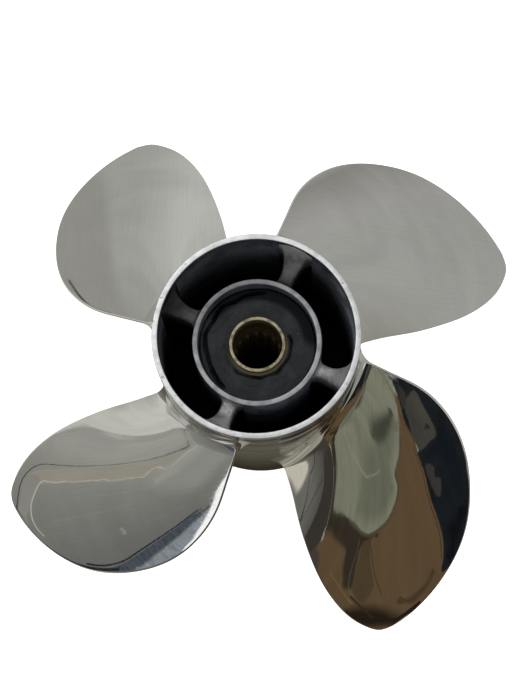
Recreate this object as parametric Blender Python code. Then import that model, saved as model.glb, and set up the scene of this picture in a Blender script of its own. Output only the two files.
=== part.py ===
"""Outboard boat propeller: four raked blades on an exhaust barrel, with a rubber hub on a splined sleeve.

Frame: metres, +Z up along the shaft towards the front (engine) end, with the origin at the centre of the
barrel's rear face, on which the propeller stands. Seen from the front end, +X is right and +Y is up.
Angles go counter-clockwise from +X in that view, which is the way to a blade's leading edge.
"""

import math

import bmesh
import bpy
import numpy as np

# Gap at every joint between two pieces
JOINT_GAP = 0.0003

# Barrel, the outer hub tube
BARREL_LENGTH = 0.137
BARREL_FRONT_RADIUS = 0.0603
BARREL_TAPER = 0.0013
BARREL_WALL = 0.0036
RIM_CHAMFER = 0.0006
COLLAR_LENGTH = 0.0088
GROOVE_WIDTH = 0.0016
GROOVE_DEPTH = 0.0007

# Inner hub, the tube that holds the rubber
HUB_RADIUS = 0.0381
HUB_WALL = 0.0033
HUB_FRONT_RECESS = 0.0189
HUB_REAR_RECESS = 0.0270
HUB_CHAMFER = 0.0004
SHOULDER_WIDTH = 0.0045
SHOULDER_LENGTH = 0.0050

# Ribs between inner hub and barrel
RIB_COUNT = 4
RIB_ANGLE = math.radians(66.0)
RIB_WAIST_WIDTH = 0.0086
RIB_HUB_WIDTH = 0.0100
RIB_BARREL_WIDTH = 0.0160
RIB_WAIST_SHARE = 0.35
RIB_FRONT_STEP = 0.0040
RIB_RIM_STEP = 0.0030
RIB_REAR_STEP = 0.0040

# Splined sleeve
SLEEVE_RADIUS = 0.01665
SLEEVE_BORE_RADIUS = 0.0146
SLEEVE_FRONT_RECESS = 0.0063
SLEEVE_REAR_LENGTH = 0.0040
SLEEVE_CHAMFER = 0.0004
SPLINE_COUNT = 15
SPLINE_DEPTH = 0.0014
SPLINE_SETBACK = 0.0320
SPLINE_LEAD = 0.0015

# Rubber bushing
RUBBER_RECESS = 0.0080
RUBBER_DISH = 0.0022
RUBBER_CHAMFER = 0.0015

# Blades. Each station is a share of the span from barrel to tip, with the angles of both edges there
BLADE_COUNT = 4
BLADE_TIP_RADIUS = 0.1778
STATION_SHARES = (0.0, 0.17, 0.32, 0.47, 0.62, 0.77, 0.88, 0.955, 1.0)
LEADING_ANGLES = (80.6, 78.0, 76.4, 72.9, 67.1, 58.4, 49.8, 39.9, 27.7)
TRAILING_ANGLES = (13.4, 14.2, 14.0, 14.5, 15.6, 17.7, 20.2, 22.9)
BLADE_DEPTH = 0.0700
BLADE_DEPTH_ANGLE = math.radians(35.0)
PITCH_AT_ROOT = 0.413
PITCH_AT_TIP = 0.317
RAKE = 0.0332
RAKE_SWEEP = 0.0230
ROOT_THICKNESS = 0.0102
TIP_THICKNESS = 0.0022
EDGE_THICKNESS = 0.0016
SUCTION_SHARE = 0.75
ROOT_FILLET = 0.0080

# Facets
BARREL_SEGMENTS = 96
HUB_SEGMENTS = 64
FACETS_PER_SPLINE = 4
RIB_STATIONS = 8
RIB_COLUMNS = 5
BLADE_STATIONS = 18
FILLET_STATIONS = 4
BLADE_COLUMNS = 17
BLADE_LAYERS = 5
SHARP_ANGLE = math.radians(35.0)


def clear_scene():
    """Removes every object of the open scene."""
    for obj in list(bpy.data.objects):
        bpy.data.objects.remove(obj, do_unlink=True)


def make_material(name, color, roughness, metallic):
    """Returns a Principled material of one colour, roughness and metallic value."""
    material = bpy.data.materials.new(name)
    material.use_nodes = True
    shader = material.node_tree.nodes["Principled BSDF"]
    shader.inputs["Base Color"].default_value = (*color, 1.0)
    shader.inputs["Roughness"].default_value = roughness
    shader.inputs["Metallic"].default_value = metallic
    material.diffuse_color = (*color, 1.0)
    return material


def mesh_from(bm, name, material):
    """Turns a bmesh into a smooth-shaded mesh with its normals out, and frees the bmesh."""
    bmesh.ops.recalc_face_normals(bm, faces=bm.faces)
    mesh = bpy.data.meshes.new(name)
    bm.to_mesh(mesh)
    bm.free()
    mesh.materials.append(material)
    mesh.shade_smooth()
    mesh.set_sharp_from_angle(angle=SHARP_ANGLE)
    return mesh


def place(name, mesh, turn=0.0):
    """Links a named object that shows the mesh, turned about the shaft's axis."""
    obj = bpy.data.objects.new(name, mesh)
    obj.rotation_euler[2] = turn
    bpy.context.scene.collection.objects.link(obj)
    return obj


def turned_mesh(name, profile, segments, material):
    """Spins a closed profile of (radius, height) points about the shaft's axis."""
    bm = bmesh.new()
    points = [bm.verts.new((radius, 0.0, height)) for radius, height in profile]
    edges = [bm.edges.new((a, b)) for a, b in zip(points, points[1:] + points[:1])]
    bmesh.ops.spin(bm, geom=points + edges, cent=(0, 0, 0), axis=(0, 0, 1), angle=math.tau,
                   steps=segments, use_merge=True)
    return mesh_from(bm, name, material)


def block_mesh(name, points, material):
    """Skins the outside of a block of points, held as stations by columns by layers by xyz."""
    bm = bmesh.new()
    verts = {}
    for axis in range(3):
        first, second = [other for other in range(3) if other != axis]
        for side in (0, points.shape[axis] - 1):
            for i in range(points.shape[first] - 1):
                for j in range(points.shape[second] - 1):
                    corners = []
                    for step_i, step_j in ((0, 0), (1, 0), (1, 1), (0, 1)):
                        index = [side, side, side]
                        index[first] = i + step_i
                        index[second] = j + step_j
                        index = tuple(index)
                        if index not in verts:
                            verts[index] = bm.verts.new(points[index])
                        corners.append(verts[index])
                    bm.faces.new(corners)
    return mesh_from(bm, name, material)


def ring_mesh(name, rings, material):
    """Joins rings of equally many points, each to the next and the last to the first, as a tube's skin."""
    bm = bmesh.new()
    loops = [[bm.verts.new(point) for point in ring] for ring in rings]
    for ring, after in zip(loops, loops[1:] + loops[:1]):
        for i in range(len(ring)):
            k = (i + 1) % len(ring)
            bm.faces.new((ring[i], ring[k], after[k], after[i]))
    return mesh_from(bm, name, material)


def polar(radius, angle, height):
    """Returns x, y and z of points given by radius, angle and height."""
    return np.stack(np.broadcast_arrays(radius * np.cos(angle), radius * np.sin(angle), height), axis=-1)


def spline_through(knots, values, at):
    """Evaluates the natural cubic spline through the values at the knots."""
    knots, values, at = (np.asarray(numbers, dtype=float) for numbers in (knots, values, at))
    steps = np.diff(knots)
    slopes = np.diff(values) / steps
    system = np.eye(len(knots))
    right = np.zeros(len(knots))
    for i in range(1, len(knots) - 1):
        system[i, i - 1:i + 2] = steps[i - 1], 2 * (steps[i - 1] + steps[i]), steps[i]
        right[i] = 6 * (slopes[i] - slopes[i - 1])
    bends = np.linalg.solve(system, right)
    span = np.clip(np.searchsorted(knots, at) - 1, 0, len(steps) - 1)
    step = steps[span]
    before = (knots[span + 1] - at) / step
    after = (at - knots[span]) / step
    straight = before * values[span] + after * values[span + 1]
    bend = (before**3 - before) * bends[span] + (after**3 - after) * bends[span + 1]
    return straight + bend * step**2 / 6


def barrel_radius(height):
    """Radius of the barrel's outside at a height, along its even taper."""
    return BARREL_FRONT_RADIUS - BARREL_TAPER * (1 - height / BARREL_LENGTH)


def barrel_bore_radius():
    """Radius of the barrel's inside."""
    return BARREL_FRONT_RADIUS - BARREL_WALL


def hub_front():
    """Height of the inner hub's front face."""
    return BARREL_LENGTH - HUB_FRONT_RECESS


def hub_bore_radius():
    """Radius of the bore that holds the rubber."""
    return HUB_RADIUS - HUB_WALL


def make_barrel(material):
    """The outer tube, with a flat rim, a front collar and the groove behind it."""
    bore = barrel_bore_radius()
    groove_front = BARREL_LENGTH - COLLAR_LENGTH
    groove_rear = groove_front - GROOVE_WIDTH
    profile = [
        (bore, 0.0),
        (BARREL_FRONT_RADIUS - BARREL_TAPER, 0.0),
        (barrel_radius(groove_rear), groove_rear),
        (barrel_radius(groove_rear) - GROOVE_DEPTH, groove_rear + GROOVE_DEPTH / 2),
        (barrel_radius(groove_front) - GROOVE_DEPTH, groove_front - GROOVE_DEPTH / 2),
        (barrel_radius(groove_front), groove_front),
        (BARREL_FRONT_RADIUS, BARREL_LENGTH - RIM_CHAMFER),
        (BARREL_FRONT_RADIUS - RIM_CHAMFER, BARREL_LENGTH),
        (bore + RIM_CHAMFER / 2, BARREL_LENGTH),
        (bore, BARREL_LENGTH - RIM_CHAMFER / 2),
    ]
    place("barrel", turned_mesh("barrel", profile, BARREL_SEGMENTS, material))


def make_inner_hub(material):
    """The inner tube, whose rear shoulder stops the rubber."""
    bore = hub_bore_radius()
    front = hub_front()
    profile = [
        (bore - SHOULDER_WIDTH, HUB_REAR_RECESS),
        (HUB_RADIUS, HUB_REAR_RECESS),
        (HUB_RADIUS, front - HUB_CHAMFER),
        (HUB_RADIUS - HUB_CHAMFER, front),
        (bore + HUB_CHAMFER, front),
        (bore, front - HUB_CHAMFER),
        (bore, HUB_REAR_RECESS + SHOULDER_LENGTH),
        (bore - SHOULDER_WIDTH, HUB_REAR_RECESS + SHOULDER_LENGTH),
    ]
    place("inner_hub", turned_mesh("inner_hub", profile, HUB_SEGMENTS, material))


def rib_width(share):
    """Width of a rib at a share of its way from hub to barrel: narrowest at the waist, flared at both ends."""
    to_hub = np.clip((RIB_WAIST_SHARE - share) / RIB_WAIST_SHARE, 0, 1)
    to_barrel = np.clip((share - RIB_WAIST_SHARE) / (1 - RIB_WAIST_SHARE), 0, 1)
    flare = (RIB_HUB_WIDTH - RIB_WAIST_WIDTH) * to_hub**2 + (RIB_BARREL_WIDTH - RIB_WAIST_WIDTH) * to_barrel**2
    return RIB_WAIST_WIDTH + flare


def rib_front(share):
    """Height of a rib's front edge: level near the hub, then a hollow sweep up to just behind the rim."""
    low = hub_front() - RIB_FRONT_STEP
    high = BARREL_LENGTH - RIB_RIM_STEP
    rise = np.clip((share - RIB_WAIST_SHARE) / (1 - RIB_WAIST_SHARE), 0, 1)
    return low + (high - low) * rise**2


def make_ribs(material):
    """The ribs, as blocks whose ends follow the round walls that they stand between."""
    share = np.linspace(0, 1, RIB_STATIONS)[:, None, None]
    column = np.linspace(-0.5, 0.5, RIB_COLUMNS)[None, :, None]
    layer = np.linspace(0, 1, 2)[None, None, :]
    inner = HUB_RADIUS + JOINT_GAP
    outer = barrel_bore_radius() - JOINT_GAP
    radius = inner + (outer - inner) * share
    rear = HUB_REAR_RECESS + RIB_REAR_STEP
    height = rear + (rib_front(share) - rear) * layer
    points = polar(radius, column * rib_width(share) / radius, height)
    mesh = block_mesh("rib", points, material)
    for i in range(RIB_COUNT):
        place(f"rib_{i + 1}", mesh, RIB_ANGLE + i * math.tau / RIB_COUNT)


def make_rubber(material):
    """The bushing between sleeve and inner hub, dished towards the sleeve at its front."""
    inner = SLEEVE_RADIUS + JOINT_GAP
    outer = hub_bore_radius() - JOINT_GAP
    rear = HUB_REAR_RECESS + SHOULDER_LENGTH + JOINT_GAP
    front = hub_front() - RUBBER_RECESS
    profile = [
        (inner, rear),
        (outer, rear),
        (outer, front - RUBBER_CHAMFER),
        (outer - RUBBER_CHAMFER, front),
        ((inner + outer) / 2, front - RUBBER_DISH / 3),
        (inner, front - RUBBER_DISH),
    ]
    place("rubber_bushing", turned_mesh("rubber_bushing", profile, HUB_SEGMENTS, material))


def make_sleeve(material):
    """The sleeve, plain at its mouth and splined from the setback to its rear end."""
    count = SPLINE_COUNT * FACETS_PER_SPLINE
    angles = math.tau * np.arange(count) / count
    toothed = SLEEVE_BORE_RADIUS - SPLINE_DEPTH * (np.arange(count) % FACETS_PER_SPLINE < FACETS_PER_SPLINE / 2)
    front = hub_front() - SLEEVE_FRONT_RECESS
    rear = HUB_REAR_RECESS - SLEEVE_REAR_LENGTH
    spline_front = front - SPLINE_SETBACK
    rings = [
        polar(SLEEVE_RADIUS, angles, rear),
        polar(SLEEVE_RADIUS, angles, front - SLEEVE_CHAMFER),
        polar(SLEEVE_RADIUS - SLEEVE_CHAMFER, angles, front),
        polar(SLEEVE_BORE_RADIUS + SLEEVE_CHAMFER, angles, front),
        polar(SLEEVE_BORE_RADIUS, angles, front - SLEEVE_CHAMFER),
        polar(SLEEVE_BORE_RADIUS, angles, spline_front),
        polar(toothed, angles, spline_front - SPLINE_LEAD),
        polar(toothed, angles, rear),
    ]
    place("spline_sleeve", ring_mesh("spline_sleeve", rings, material))


def edge_angle(turn):
    """Angle of the blade's outline, as turn goes from 0 at the leading root over the tip to pi at the trailing."""
    rise = np.arcsin(STATION_SHARES)
    knots = np.concatenate([rise, math.pi - rise[-2::-1]])
    angles = np.radians(LEADING_ANGLES + TRAILING_ANGLES[::-1])
    return spline_through(knots, angles, turn)


def blade_height(angle, share):
    """Height of the blade's pressure face from its pitch and its rake."""
    pitch = PITCH_AT_ROOT + (PITCH_AT_TIP - PITCH_AT_ROOT) * share
    drop = RAKE * share + RAKE_SWEEP * share**3
    climb = pitch / math.tau * (angle - BLADE_DEPTH_ANGLE)
    return BARREL_LENGTH - BLADE_DEPTH - drop + climb


def blade_thickness(share, across):
    """Thickness at a share of the span, and at across from -1 to 1 between the edges."""
    full = TIP_THICKNESS + (ROOT_THICKNESS - TIP_THICKNESS) * (1 - share)**1.4
    edge = np.minimum(EDGE_THICKNESS, full)
    return edge + (full - edge) * (1 - across**2)


def fillet_reach(distance):
    """How far the root fillet reaches out of the blade, at a distance from the barrel."""
    left = np.clip(ROOT_FILLET - distance, 0, ROOT_FILLET)
    return ROOT_FILLET - np.sqrt(ROOT_FILLET**2 - left**2)


def blade_turns():
    """The outline turn of every station: close together in the root fillet, then evenly up to the tip."""
    span = BLADE_TIP_RADIUS - BARREL_FRONT_RADIUS
    start = math.asin(JOINT_GAP / span)
    fillet_end = math.asin(ROOT_FILLET / span)
    in_fillet = start + (fillet_end - start) * np.linspace(0, 1, FILLET_STATIONS, endpoint=False)**1.5
    tip = math.pi / 2 * (1 - 0.5 / BLADE_STATIONS)
    return np.concatenate([in_fillet, np.linspace(fillet_end, tip, BLADE_STATIONS)])


def blade_points():
    """The blade as a block of points: stations along the span, columns across the chord, layers through it."""
    turn = blade_turns()[:, None, None]
    even = np.linspace(-1, 1, BLADE_COLUMNS)
    across = ((even + np.sin(math.pi / 2 * even)) / 2)[None, :, None]
    layer = np.linspace(-1, 1, BLADE_LAYERS)[None, None, :]
    share = np.sin(turn)
    span = BLADE_TIP_RADIUS - BARREL_FRONT_RADIUS
    radius = BARREL_FRONT_RADIUS + span * share
    climb = (PITCH_AT_ROOT + (PITCH_AT_TIP - PITCH_AT_ROOT) * share) / math.tau
    length = np.hypot(radius, climb)

    inset = EDGE_THICKNESS / 2 / length
    leading = edge_angle(turn) - inset
    trailing = edge_angle(math.pi - turn) + inset
    angle = (leading + trailing) / 2 + (leading - trailing) / 2 * across
    height = blade_height(angle, share)

    thickness = blade_thickness(share, across)
    half = thickness / 2 + fillet_reach(span * share)
    lift = thickness * (SUCTION_SHARE - 0.5) * (1 - across**2) + layer * half
    edge_side = np.where(np.abs(across) > 1 - 1e-9, np.sign(across), 0)
    push = edge_side * half * np.sqrt(1 - layer**2)

    angle = angle + (push * radius - lift * climb) / length / radius
    height = height + (push * climb + lift * radius) / length
    follow = (BARREL_FRONT_RADIUS - barrel_radius(height)) * (1 - share)
    return polar(radius - follow, angle, height)


def make_blades(material):
    """The blades, each turned by its share of the circle."""
    mesh = block_mesh("blade", blade_points(), material)
    for i in range(BLADE_COUNT):
        place(f"blade_{i + 1}", mesh, i * math.tau / BLADE_COUNT)


def main():
    """Builds the propeller."""
    clear_scene()
    polished = make_material("polished_stainless", (0.62, 0.61, 0.58), 0.12, 1.0)
    cast = make_material("cast_stainless", (0.34, 0.34, 0.35), 0.45, 1.0)
    rubber = make_material("rubber", (0.028, 0.030, 0.032), 0.7, 0.0)
    brass = make_material("brass", (0.42, 0.35, 0.20), 0.35, 1.0)
    make_barrel(polished)
    make_inner_hub(cast)
    make_ribs(cast)
    make_rubber(rubber)
    make_sleeve(brass)
    make_blades(polished)


main()
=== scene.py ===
"""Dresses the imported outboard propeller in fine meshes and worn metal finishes, in a soft studio.

Frame: metres, +Z up along the shaft towards the front (engine) end, with the origin at the centre of the
barrel's rear face, on which the propeller stands. Seen from the front end, +X is right and +Y is up.
Angles go counter-clockwise from +X in that view, which is the way to a blade's leading edge.
"""

import logging
import math
from dataclasses import dataclass, field
from enum import Enum

import bmesh
import bpy
import numpy as np
from mathutils import Matrix, Vector, geometry


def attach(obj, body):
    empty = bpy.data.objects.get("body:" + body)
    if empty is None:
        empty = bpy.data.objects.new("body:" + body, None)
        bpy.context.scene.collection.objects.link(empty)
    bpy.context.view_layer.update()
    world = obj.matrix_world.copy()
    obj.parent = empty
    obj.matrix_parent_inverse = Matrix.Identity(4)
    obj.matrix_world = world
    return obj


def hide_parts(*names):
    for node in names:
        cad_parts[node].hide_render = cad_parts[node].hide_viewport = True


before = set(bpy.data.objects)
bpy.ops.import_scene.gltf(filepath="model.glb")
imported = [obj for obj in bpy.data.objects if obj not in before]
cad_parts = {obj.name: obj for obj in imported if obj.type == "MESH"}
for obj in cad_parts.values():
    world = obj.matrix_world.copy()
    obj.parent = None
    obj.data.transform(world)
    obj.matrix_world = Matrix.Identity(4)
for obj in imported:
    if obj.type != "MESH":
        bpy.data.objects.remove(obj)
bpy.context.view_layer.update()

Color = tuple[float, float, float]
Point = tuple[float, float]
Triple = tuple[float, float, float]

BODY = "root"
SHARP_ANGLE = math.radians(38.0)
NOISE_LOW, NOISE_HIGH = 0.3, 0.7
log = logging.getLogger("propeller")


class Slot(Enum):
    """The record's material slots."""

    POLISHED = "polished_stainless"
    CAST = "cast_stainless"
    RUBBER = "rubber"
    BRASS = "brass"


class Seen(Enum):
    """Which rays a piece of the studio answers to."""

    BY_REFLECTIONS = "reflections"
    BY_ALL_BUT_REFLECTIONS = "all but reflections"


# Numbers and shapes


def from_display(color: Color) -> Color:
    """Turns a colour as it looks on screen, 0 to 255, into linear light.

    Args:
        color: red, green and blue on screen.

    Returns:
        The same colour as linear values from 0 to 1.
    """
    return tuple(((c / 255 + 0.055) / 1.055) ** 2.4 if c > 10 else c / 255 / 12.92 for c in color)


def polar(radius: np.ndarray, angle: np.ndarray, height: np.ndarray) -> np.ndarray:
    """Places points by radius, angle and height.

    Args:
        radius: distances from the shaft's axis.
        angle: angles round the axis, in radians.
        height: heights above the floor.

    Returns:
        The points' x, y and z along a last axis.
    """
    return np.stack(np.broadcast_arrays(radius * np.cos(angle), radius * np.sin(angle), height), axis=-1)


def spline_through(knots: np.ndarray, values: np.ndarray, at: np.ndarray) -> np.ndarray:
    """Evaluates the natural cubic spline through the values at the knots.

    Args:
        knots: rising positions of the values.
        values: what the spline passes through.
        at: positions to evaluate.

    Returns:
        The spline's values there.
    """
    knots, values, at = (np.asarray(numbers, dtype=float) for numbers in (knots, values, at))
    steps = np.diff(knots)
    slopes = np.diff(values) / steps
    system = np.eye(len(knots))
    right = np.zeros(len(knots))
    for i in range(1, len(knots) - 1):
        system[i, i - 1:i + 2] = steps[i - 1], 2 * (steps[i - 1] + steps[i]), steps[i]
        right[i] = 6 * (slopes[i] - slopes[i - 1])
    bends = np.linalg.solve(system, right)
    span = np.clip(np.searchsorted(knots, at) - 1, 0, len(steps) - 1)
    step = steps[span]
    before = (knots[span + 1] - at) / step
    after = (at - knots[span]) / step
    straight = before * values[span] + after * values[span + 1]
    bend = (before**3 - before) * bends[span] + (after**3 - after) * bends[span + 1]
    return straight + bend * step**2 / 6


def smooth_step(low: float, high: float, value: np.ndarray) -> np.ndarray:
    """Rises smoothly from 0 to 1.

    Args:
        low: where the rise starts.
        high: where it ends.
        value: positions to evaluate.

    Returns:
        The share from 0 to 1 at each position.
    """
    share = np.clip((np.asarray(value, dtype=float) - low) / (high - low), 0, 1)
    return share * share * (3 - 2 * share)


def fillet_reach(distance: np.ndarray, radius: float) -> np.ndarray:
    """How far a round fillet stands off one face, at a distance from the other.

    Args:
        distance: distances from the other face.
        radius: the fillet's radius.

    Returns:
        The reach, from the radius at no distance to nothing at the fillet's end.
    """
    left = np.clip(radius - distance, 0, radius)
    return radius - np.sqrt(radius**2 - left**2)


def rounded(profile: list[Triple], steps: int) -> list[Point]:
    """Rounds the corners of a closed profile.

    Args:
        profile: radius, height and rounding radius of every corner.
        steps: facets in each rounded corner.

    Returns:
        The profile's points with an arc at every rounded corner.
    """
    points = []
    for i, (x, z, rounding) in enumerate(profile):
        corner = Vector((x, z))
        if rounding <= 0:
            points.append((x, z))
            continue
        before = (Vector(profile[i - 1][:2]) - corner).normalized()
        after = (Vector(profile[(i + 1) % len(profile)][:2]) - corner).normalized()
        half = math.acos(max(-1.0, min(1.0, before.dot(after)))) / 2
        reach = rounding / math.tan(half)
        middle = corner + (before + after).normalized() * (rounding / math.sin(half))
        start = corner + before * reach - middle
        turn = start.angle_signed(corner + after * reach - middle)
        for step in range(steps + 1):
            arm = start.copy()
            arm.rotate(Matrix.Rotation(-turn * step / steps, 2))
            points.append(tuple(middle + arm))
    return points


class Skin:
    """Makes smooth-shaded meshes, and gives them their materials and stored numbers."""

    @staticmethod
    def from_grid(name: str, points: np.ndarray, around: bool, along: bool,
                  zipped_from: int | None = None) -> bpy.types.Mesh:
        """Skins a grid of points.

        Args:
            name: the mesh's name.
            points: rows by columns by xyz.
            around: whether the last column joins the first.
            along: whether the last row joins the first.
            zipped_from: the column from which the first and the last row are each zipped shut, or None.

        Returns:
            The mesh, with its normals out.
        """
        rows, columns = points.shape[:2]
        index = np.arange(rows * columns).reshape(rows, columns)
        if around:
            index = np.concatenate([index, index[:, :1]], axis=1)
        if along:
            index = np.concatenate([index, index[:1]], axis=0)
        corners = [index[:-1, :-1], index[:-1, 1:], index[1:, 1:], index[1:, :-1]]
        faces = np.stack(corners, axis=-1).reshape(-1, 4).tolist()
        if zipped_from is not None:
            forth = (zipped_from + np.arange(columns // 2)) % columns
            back = (zipped_from - 1 - np.arange(columns // 2)) % columns
            for row in (index[0], index[-1]):
                strip = np.stack([row[forth[:-1]], row[forth[1:]], row[back[1:]], row[back[:-1]]], axis=-1)
                faces += strip.tolist()
        mesh = bpy.data.meshes.new(name)
        mesh.from_pydata(points.reshape(-1, 3).tolist(), [], faces)
        Skin.settle(mesh)
        return mesh

    @staticmethod
    def turned(name: str, profile: list[Point], segments: int) -> bpy.types.Mesh:
        """Spins a closed profile round the shaft's axis.

        Args:
            name: the mesh's name.
            profile: radius and height of the points.
            segments: facets round the axis.

        Returns:
            The mesh.
        """
        radius, height = np.array(profile).T
        angle = np.linspace(0, math.tau, segments, endpoint=False)
        return Skin.from_grid(name, polar(radius[:, None], angle[None, :], height[:, None]), True, True)

    @staticmethod
    def settle(mesh: bpy.types.Mesh) -> None:
        """Points a mesh's normals out and shades it smooth up to its sharp edges.

        Args:
            mesh: the mesh to change.
        """
        bm = bmesh.new()
        bm.from_mesh(mesh)
        bmesh.ops.recalc_face_normals(bm, faces=bm.faces)
        bm.to_mesh(mesh)
        bm.free()
        mesh.shade_smooth()
        mesh.set_sharp_from_angle(angle=SHARP_ANGLE)

    @staticmethod
    def coat(mesh: bpy.types.Mesh, *materials: bpy.types.Material) -> None:
        """Gives a mesh its materials, the main one first."""
        for material in materials:
            mesh.materials.append(material)

    @staticmethod
    def store(mesh: bpy.types.Mesh, name: str, values: np.ndarray) -> None:
        """Stores a number for every point of a mesh, for its material to read."""
        attribute = mesh.attributes.new(name, "FLOAT", "POINT")
        attribute.data.foreach_set("value", np.ravel(values).astype(np.float32))


def show(data: bpy.types.Mesh | bpy.types.Light | bpy.types.Camera) -> bpy.types.Object:
    """Links an object of the same name that shows a mesh, a lamp or a camera.

    Args:
        data: what it shows.

    Returns:
        The object.
    """
    obj = bpy.data.objects.new(data.name, data)
    bpy.context.scene.collection.objects.link(obj)
    return obj


def fit_piece(mesh: bpy.types.Mesh, node: str) -> None:
    """Shows a mesh in place of its CAD node, on the propeller's one body.

    Args:
        mesh: the piece's mesh.
        node: the CAD node that it stands for.
    """
    obj = show(mesh)
    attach(obj, BODY)
    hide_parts(node)
    triangles = sum(len(polygon.vertices) - 2 for polygon in obj.data.polygons)
    log.info("%s stands for %s with %d triangles", obj.name, node, triangles)


# Finishes
#
# In a finish, a side is a direction in plan. The two values of a reach, of heights or of radii are where a
# tone begins and where it is full. Those of a wander are how far roughness goes below and above its middle.


@dataclass(frozen=True)
class Pattern:
    """A noise, and the range of its values over which a mark rises from its least to its full share."""

    scale: float
    detail: float = 2.0
    roughness: float = 0.5
    low: float = NOISE_LOW
    high: float = NOISE_HIGH
    share: float = 1.0
    least: float = 0.0
    stretch: Triple = (1, 1, 1)
    turn: float = 0.0


class Graph:
    """Builds the nodes of one material or world."""

    def __init__(self, owner: bpy.types.Material | bpy.types.World, uv: str = "") -> None:
        """Opens the node tree.

        Args:
            owner: the material or the world.
            uv: the UV map that patterns lie on, in place of the object's own coordinates.
        """
        owner.use_nodes = True
        self.owner = owner
        self.uv = uv
        self.nodes = owner.node_tree.nodes
        self.links = owner.node_tree.links
        self.shader = self.nodes.get("Principled BSDF")

    @staticmethod
    def of_material(name: str, uv: str = "") -> "Graph":
        """Starts a new material, with a Principled shader at its end."""
        return Graph(bpy.data.materials.new(name), uv)

    def add(self, kind: str, inputs: dict | None = None, **settings: object) -> bpy.types.Node:
        """Adds a node.

        Args:
            kind: the node's type.
            inputs: sockets to feed, each with a value or another node's output.
            settings: the node's own options.

        Returns:
            The node.
        """
        node = self.nodes.new(kind)
        for option, value in settings.items():
            setattr(node, option, value)
        for socket, value in (inputs or {}).items():
            self.feed(node.inputs[socket], value)
        return node

    def feed(self, socket: bpy.types.NodeSocket, value: object) -> None:
        """Feeds a socket.

        Args:
            socket: the socket.
            value: another node's output, a number, a colour or a vector.
        """
        if isinstance(value, bpy.types.NodeSocket):
            self.links.new(value, socket)
        elif isinstance(value, tuple) and socket.type == "RGBA":
            socket.default_value = (*value, 1.0)
        else:
            socket.default_value = value

    def place_in_frame(self, stretch: Triple = (1, 1, 1), turn: float = 0.0) -> bpy.types.NodeSocket:
        """Coordinates in metres, stretched and turned.

        Args:
            stretch: factors along the three axes.
            turn: turn about the third axis before the stretch, in radians.

        Returns:
            The coordinates' output.
        """
        if self.uv:
            source = self.add("ShaderNodeUVMap", uv_map=self.uv).outputs["UV"]
        else:
            source = self.add("ShaderNodeTexCoord").outputs["Object"]
        turned = self.add("ShaderNodeMapping", {"Vector": source, "Rotation": (0, 0, turn)})
        return self.add("ShaderNodeMapping", {"Vector": turned.outputs[0], "Scale": stretch}).outputs[0]

    def axes(self) -> list[bpy.types.NodeSocket]:
        """The frame's x, y and z as three values."""
        return list(self.add("ShaderNodeSeparateXYZ", {0: self.place_in_frame()}).outputs)

    def along(self, direction: Triple) -> bpy.types.NodeSocket:
        """How far a place lies along a direction, in metres."""
        inputs = {0: self.place_in_frame(), 1: direction}
        return self.add("ShaderNodeVectorMath", inputs, operation="DOT_PRODUCT").outputs["Value"]

    def off_axis(self) -> bpy.types.NodeSocket:
        """Distance from the shaft's axis."""
        inputs = {0: self.place_in_frame(), 1: (1, 1, 0)}
        flat = self.add("ShaderNodeVectorMath", inputs, operation="MULTIPLY")
        return self.add("ShaderNodeVectorMath", {0: flat.outputs[0]}, operation="LENGTH").outputs["Value"]

    def stored(self, name: str) -> bpy.types.NodeSocket:
        """The number that the mesh stores for its points under a name."""
        return self.add("ShaderNodeAttribute", attribute_name=name).outputs["Fac"]

    def noise(self, pattern: Pattern, vector: bpy.types.NodeSocket | None = None) -> bpy.types.NodeSocket:
        """Even noise from 0 to 1.

        Args:
            pattern: its scale, layers and stretch.
            vector: coordinates in place of the pattern's own, or None.

        Returns:
            The noise's output.
        """
        place = vector or self.place_in_frame(pattern.stretch, pattern.turn)
        inputs = {"Vector": place, "Scale": pattern.scale}
        inputs |= {"Detail": pattern.detail, "Roughness": pattern.roughness}
        return self.add("ShaderNodeTexNoise", inputs).outputs[0]

    def marks(self, pattern: Pattern, noise: bpy.types.NodeSocket | None = None) -> bpy.types.NodeSocket:
        """How strongly a pattern's marks show.

        Args:
            pattern: the pattern.
            noise: its noise, where it is made already.

        Returns:
            The strength, from the pattern's least to its full share.
        """
        noise = noise or self.noise(pattern)
        return self.span(noise, pattern.low, pattern.high, pattern.least, pattern.share)

    def vary(self, noise: bpy.types.NodeSocket, middle: float, less: float,
             more: float) -> bpy.types.NodeSocket:
        """Lets a value wander with a noise, from less below its middle to more above it."""
        return self.span(noise, NOISE_LOW, NOISE_HIGH, middle - less, middle + more)

    def span(self, value: object, low: float, high: float, out_low: float = 0.0,
             out_high: float = 1.0) -> bpy.types.NodeSocket:
        """Stretches a range of a value smoothly to another range.

        Args:
            value: what is stretched.
            low: the value that gives out_low.
            high: the value that gives out_high.
            out_low: lowest result.
            out_high: highest result.

        Returns:
            The result's output.
        """
        inputs = {"Value": value, "From Min": low, "From Max": high, "To Min": out_low, "To Max": out_high}
        return self.add("ShaderNodeMapRange", inputs, interpolation_type="SMOOTHSTEP").outputs[0]

    def math(self, operation: str, first: object, second: object = 0.0) -> bpy.types.NodeSocket:
        """A sum on one or two values.

        Args:
            operation: the Math node's operation.
            first: the first value.
            second: the second value, where the operation has one.

        Returns:
            The result's output.
        """
        return self.add("ShaderNodeMath", {0: first, 1: second}, operation=operation).outputs[0]

    def times(self, first: object, second: object) -> bpy.types.NodeSocket:
        """The product of two values."""
        return self.math("MULTIPLY", first, second)

    def rest_of(self, share: object) -> bpy.types.NodeSocket:
        """What a share leaves of one."""
        return self.math("SUBTRACT", 1.0, share)

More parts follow.
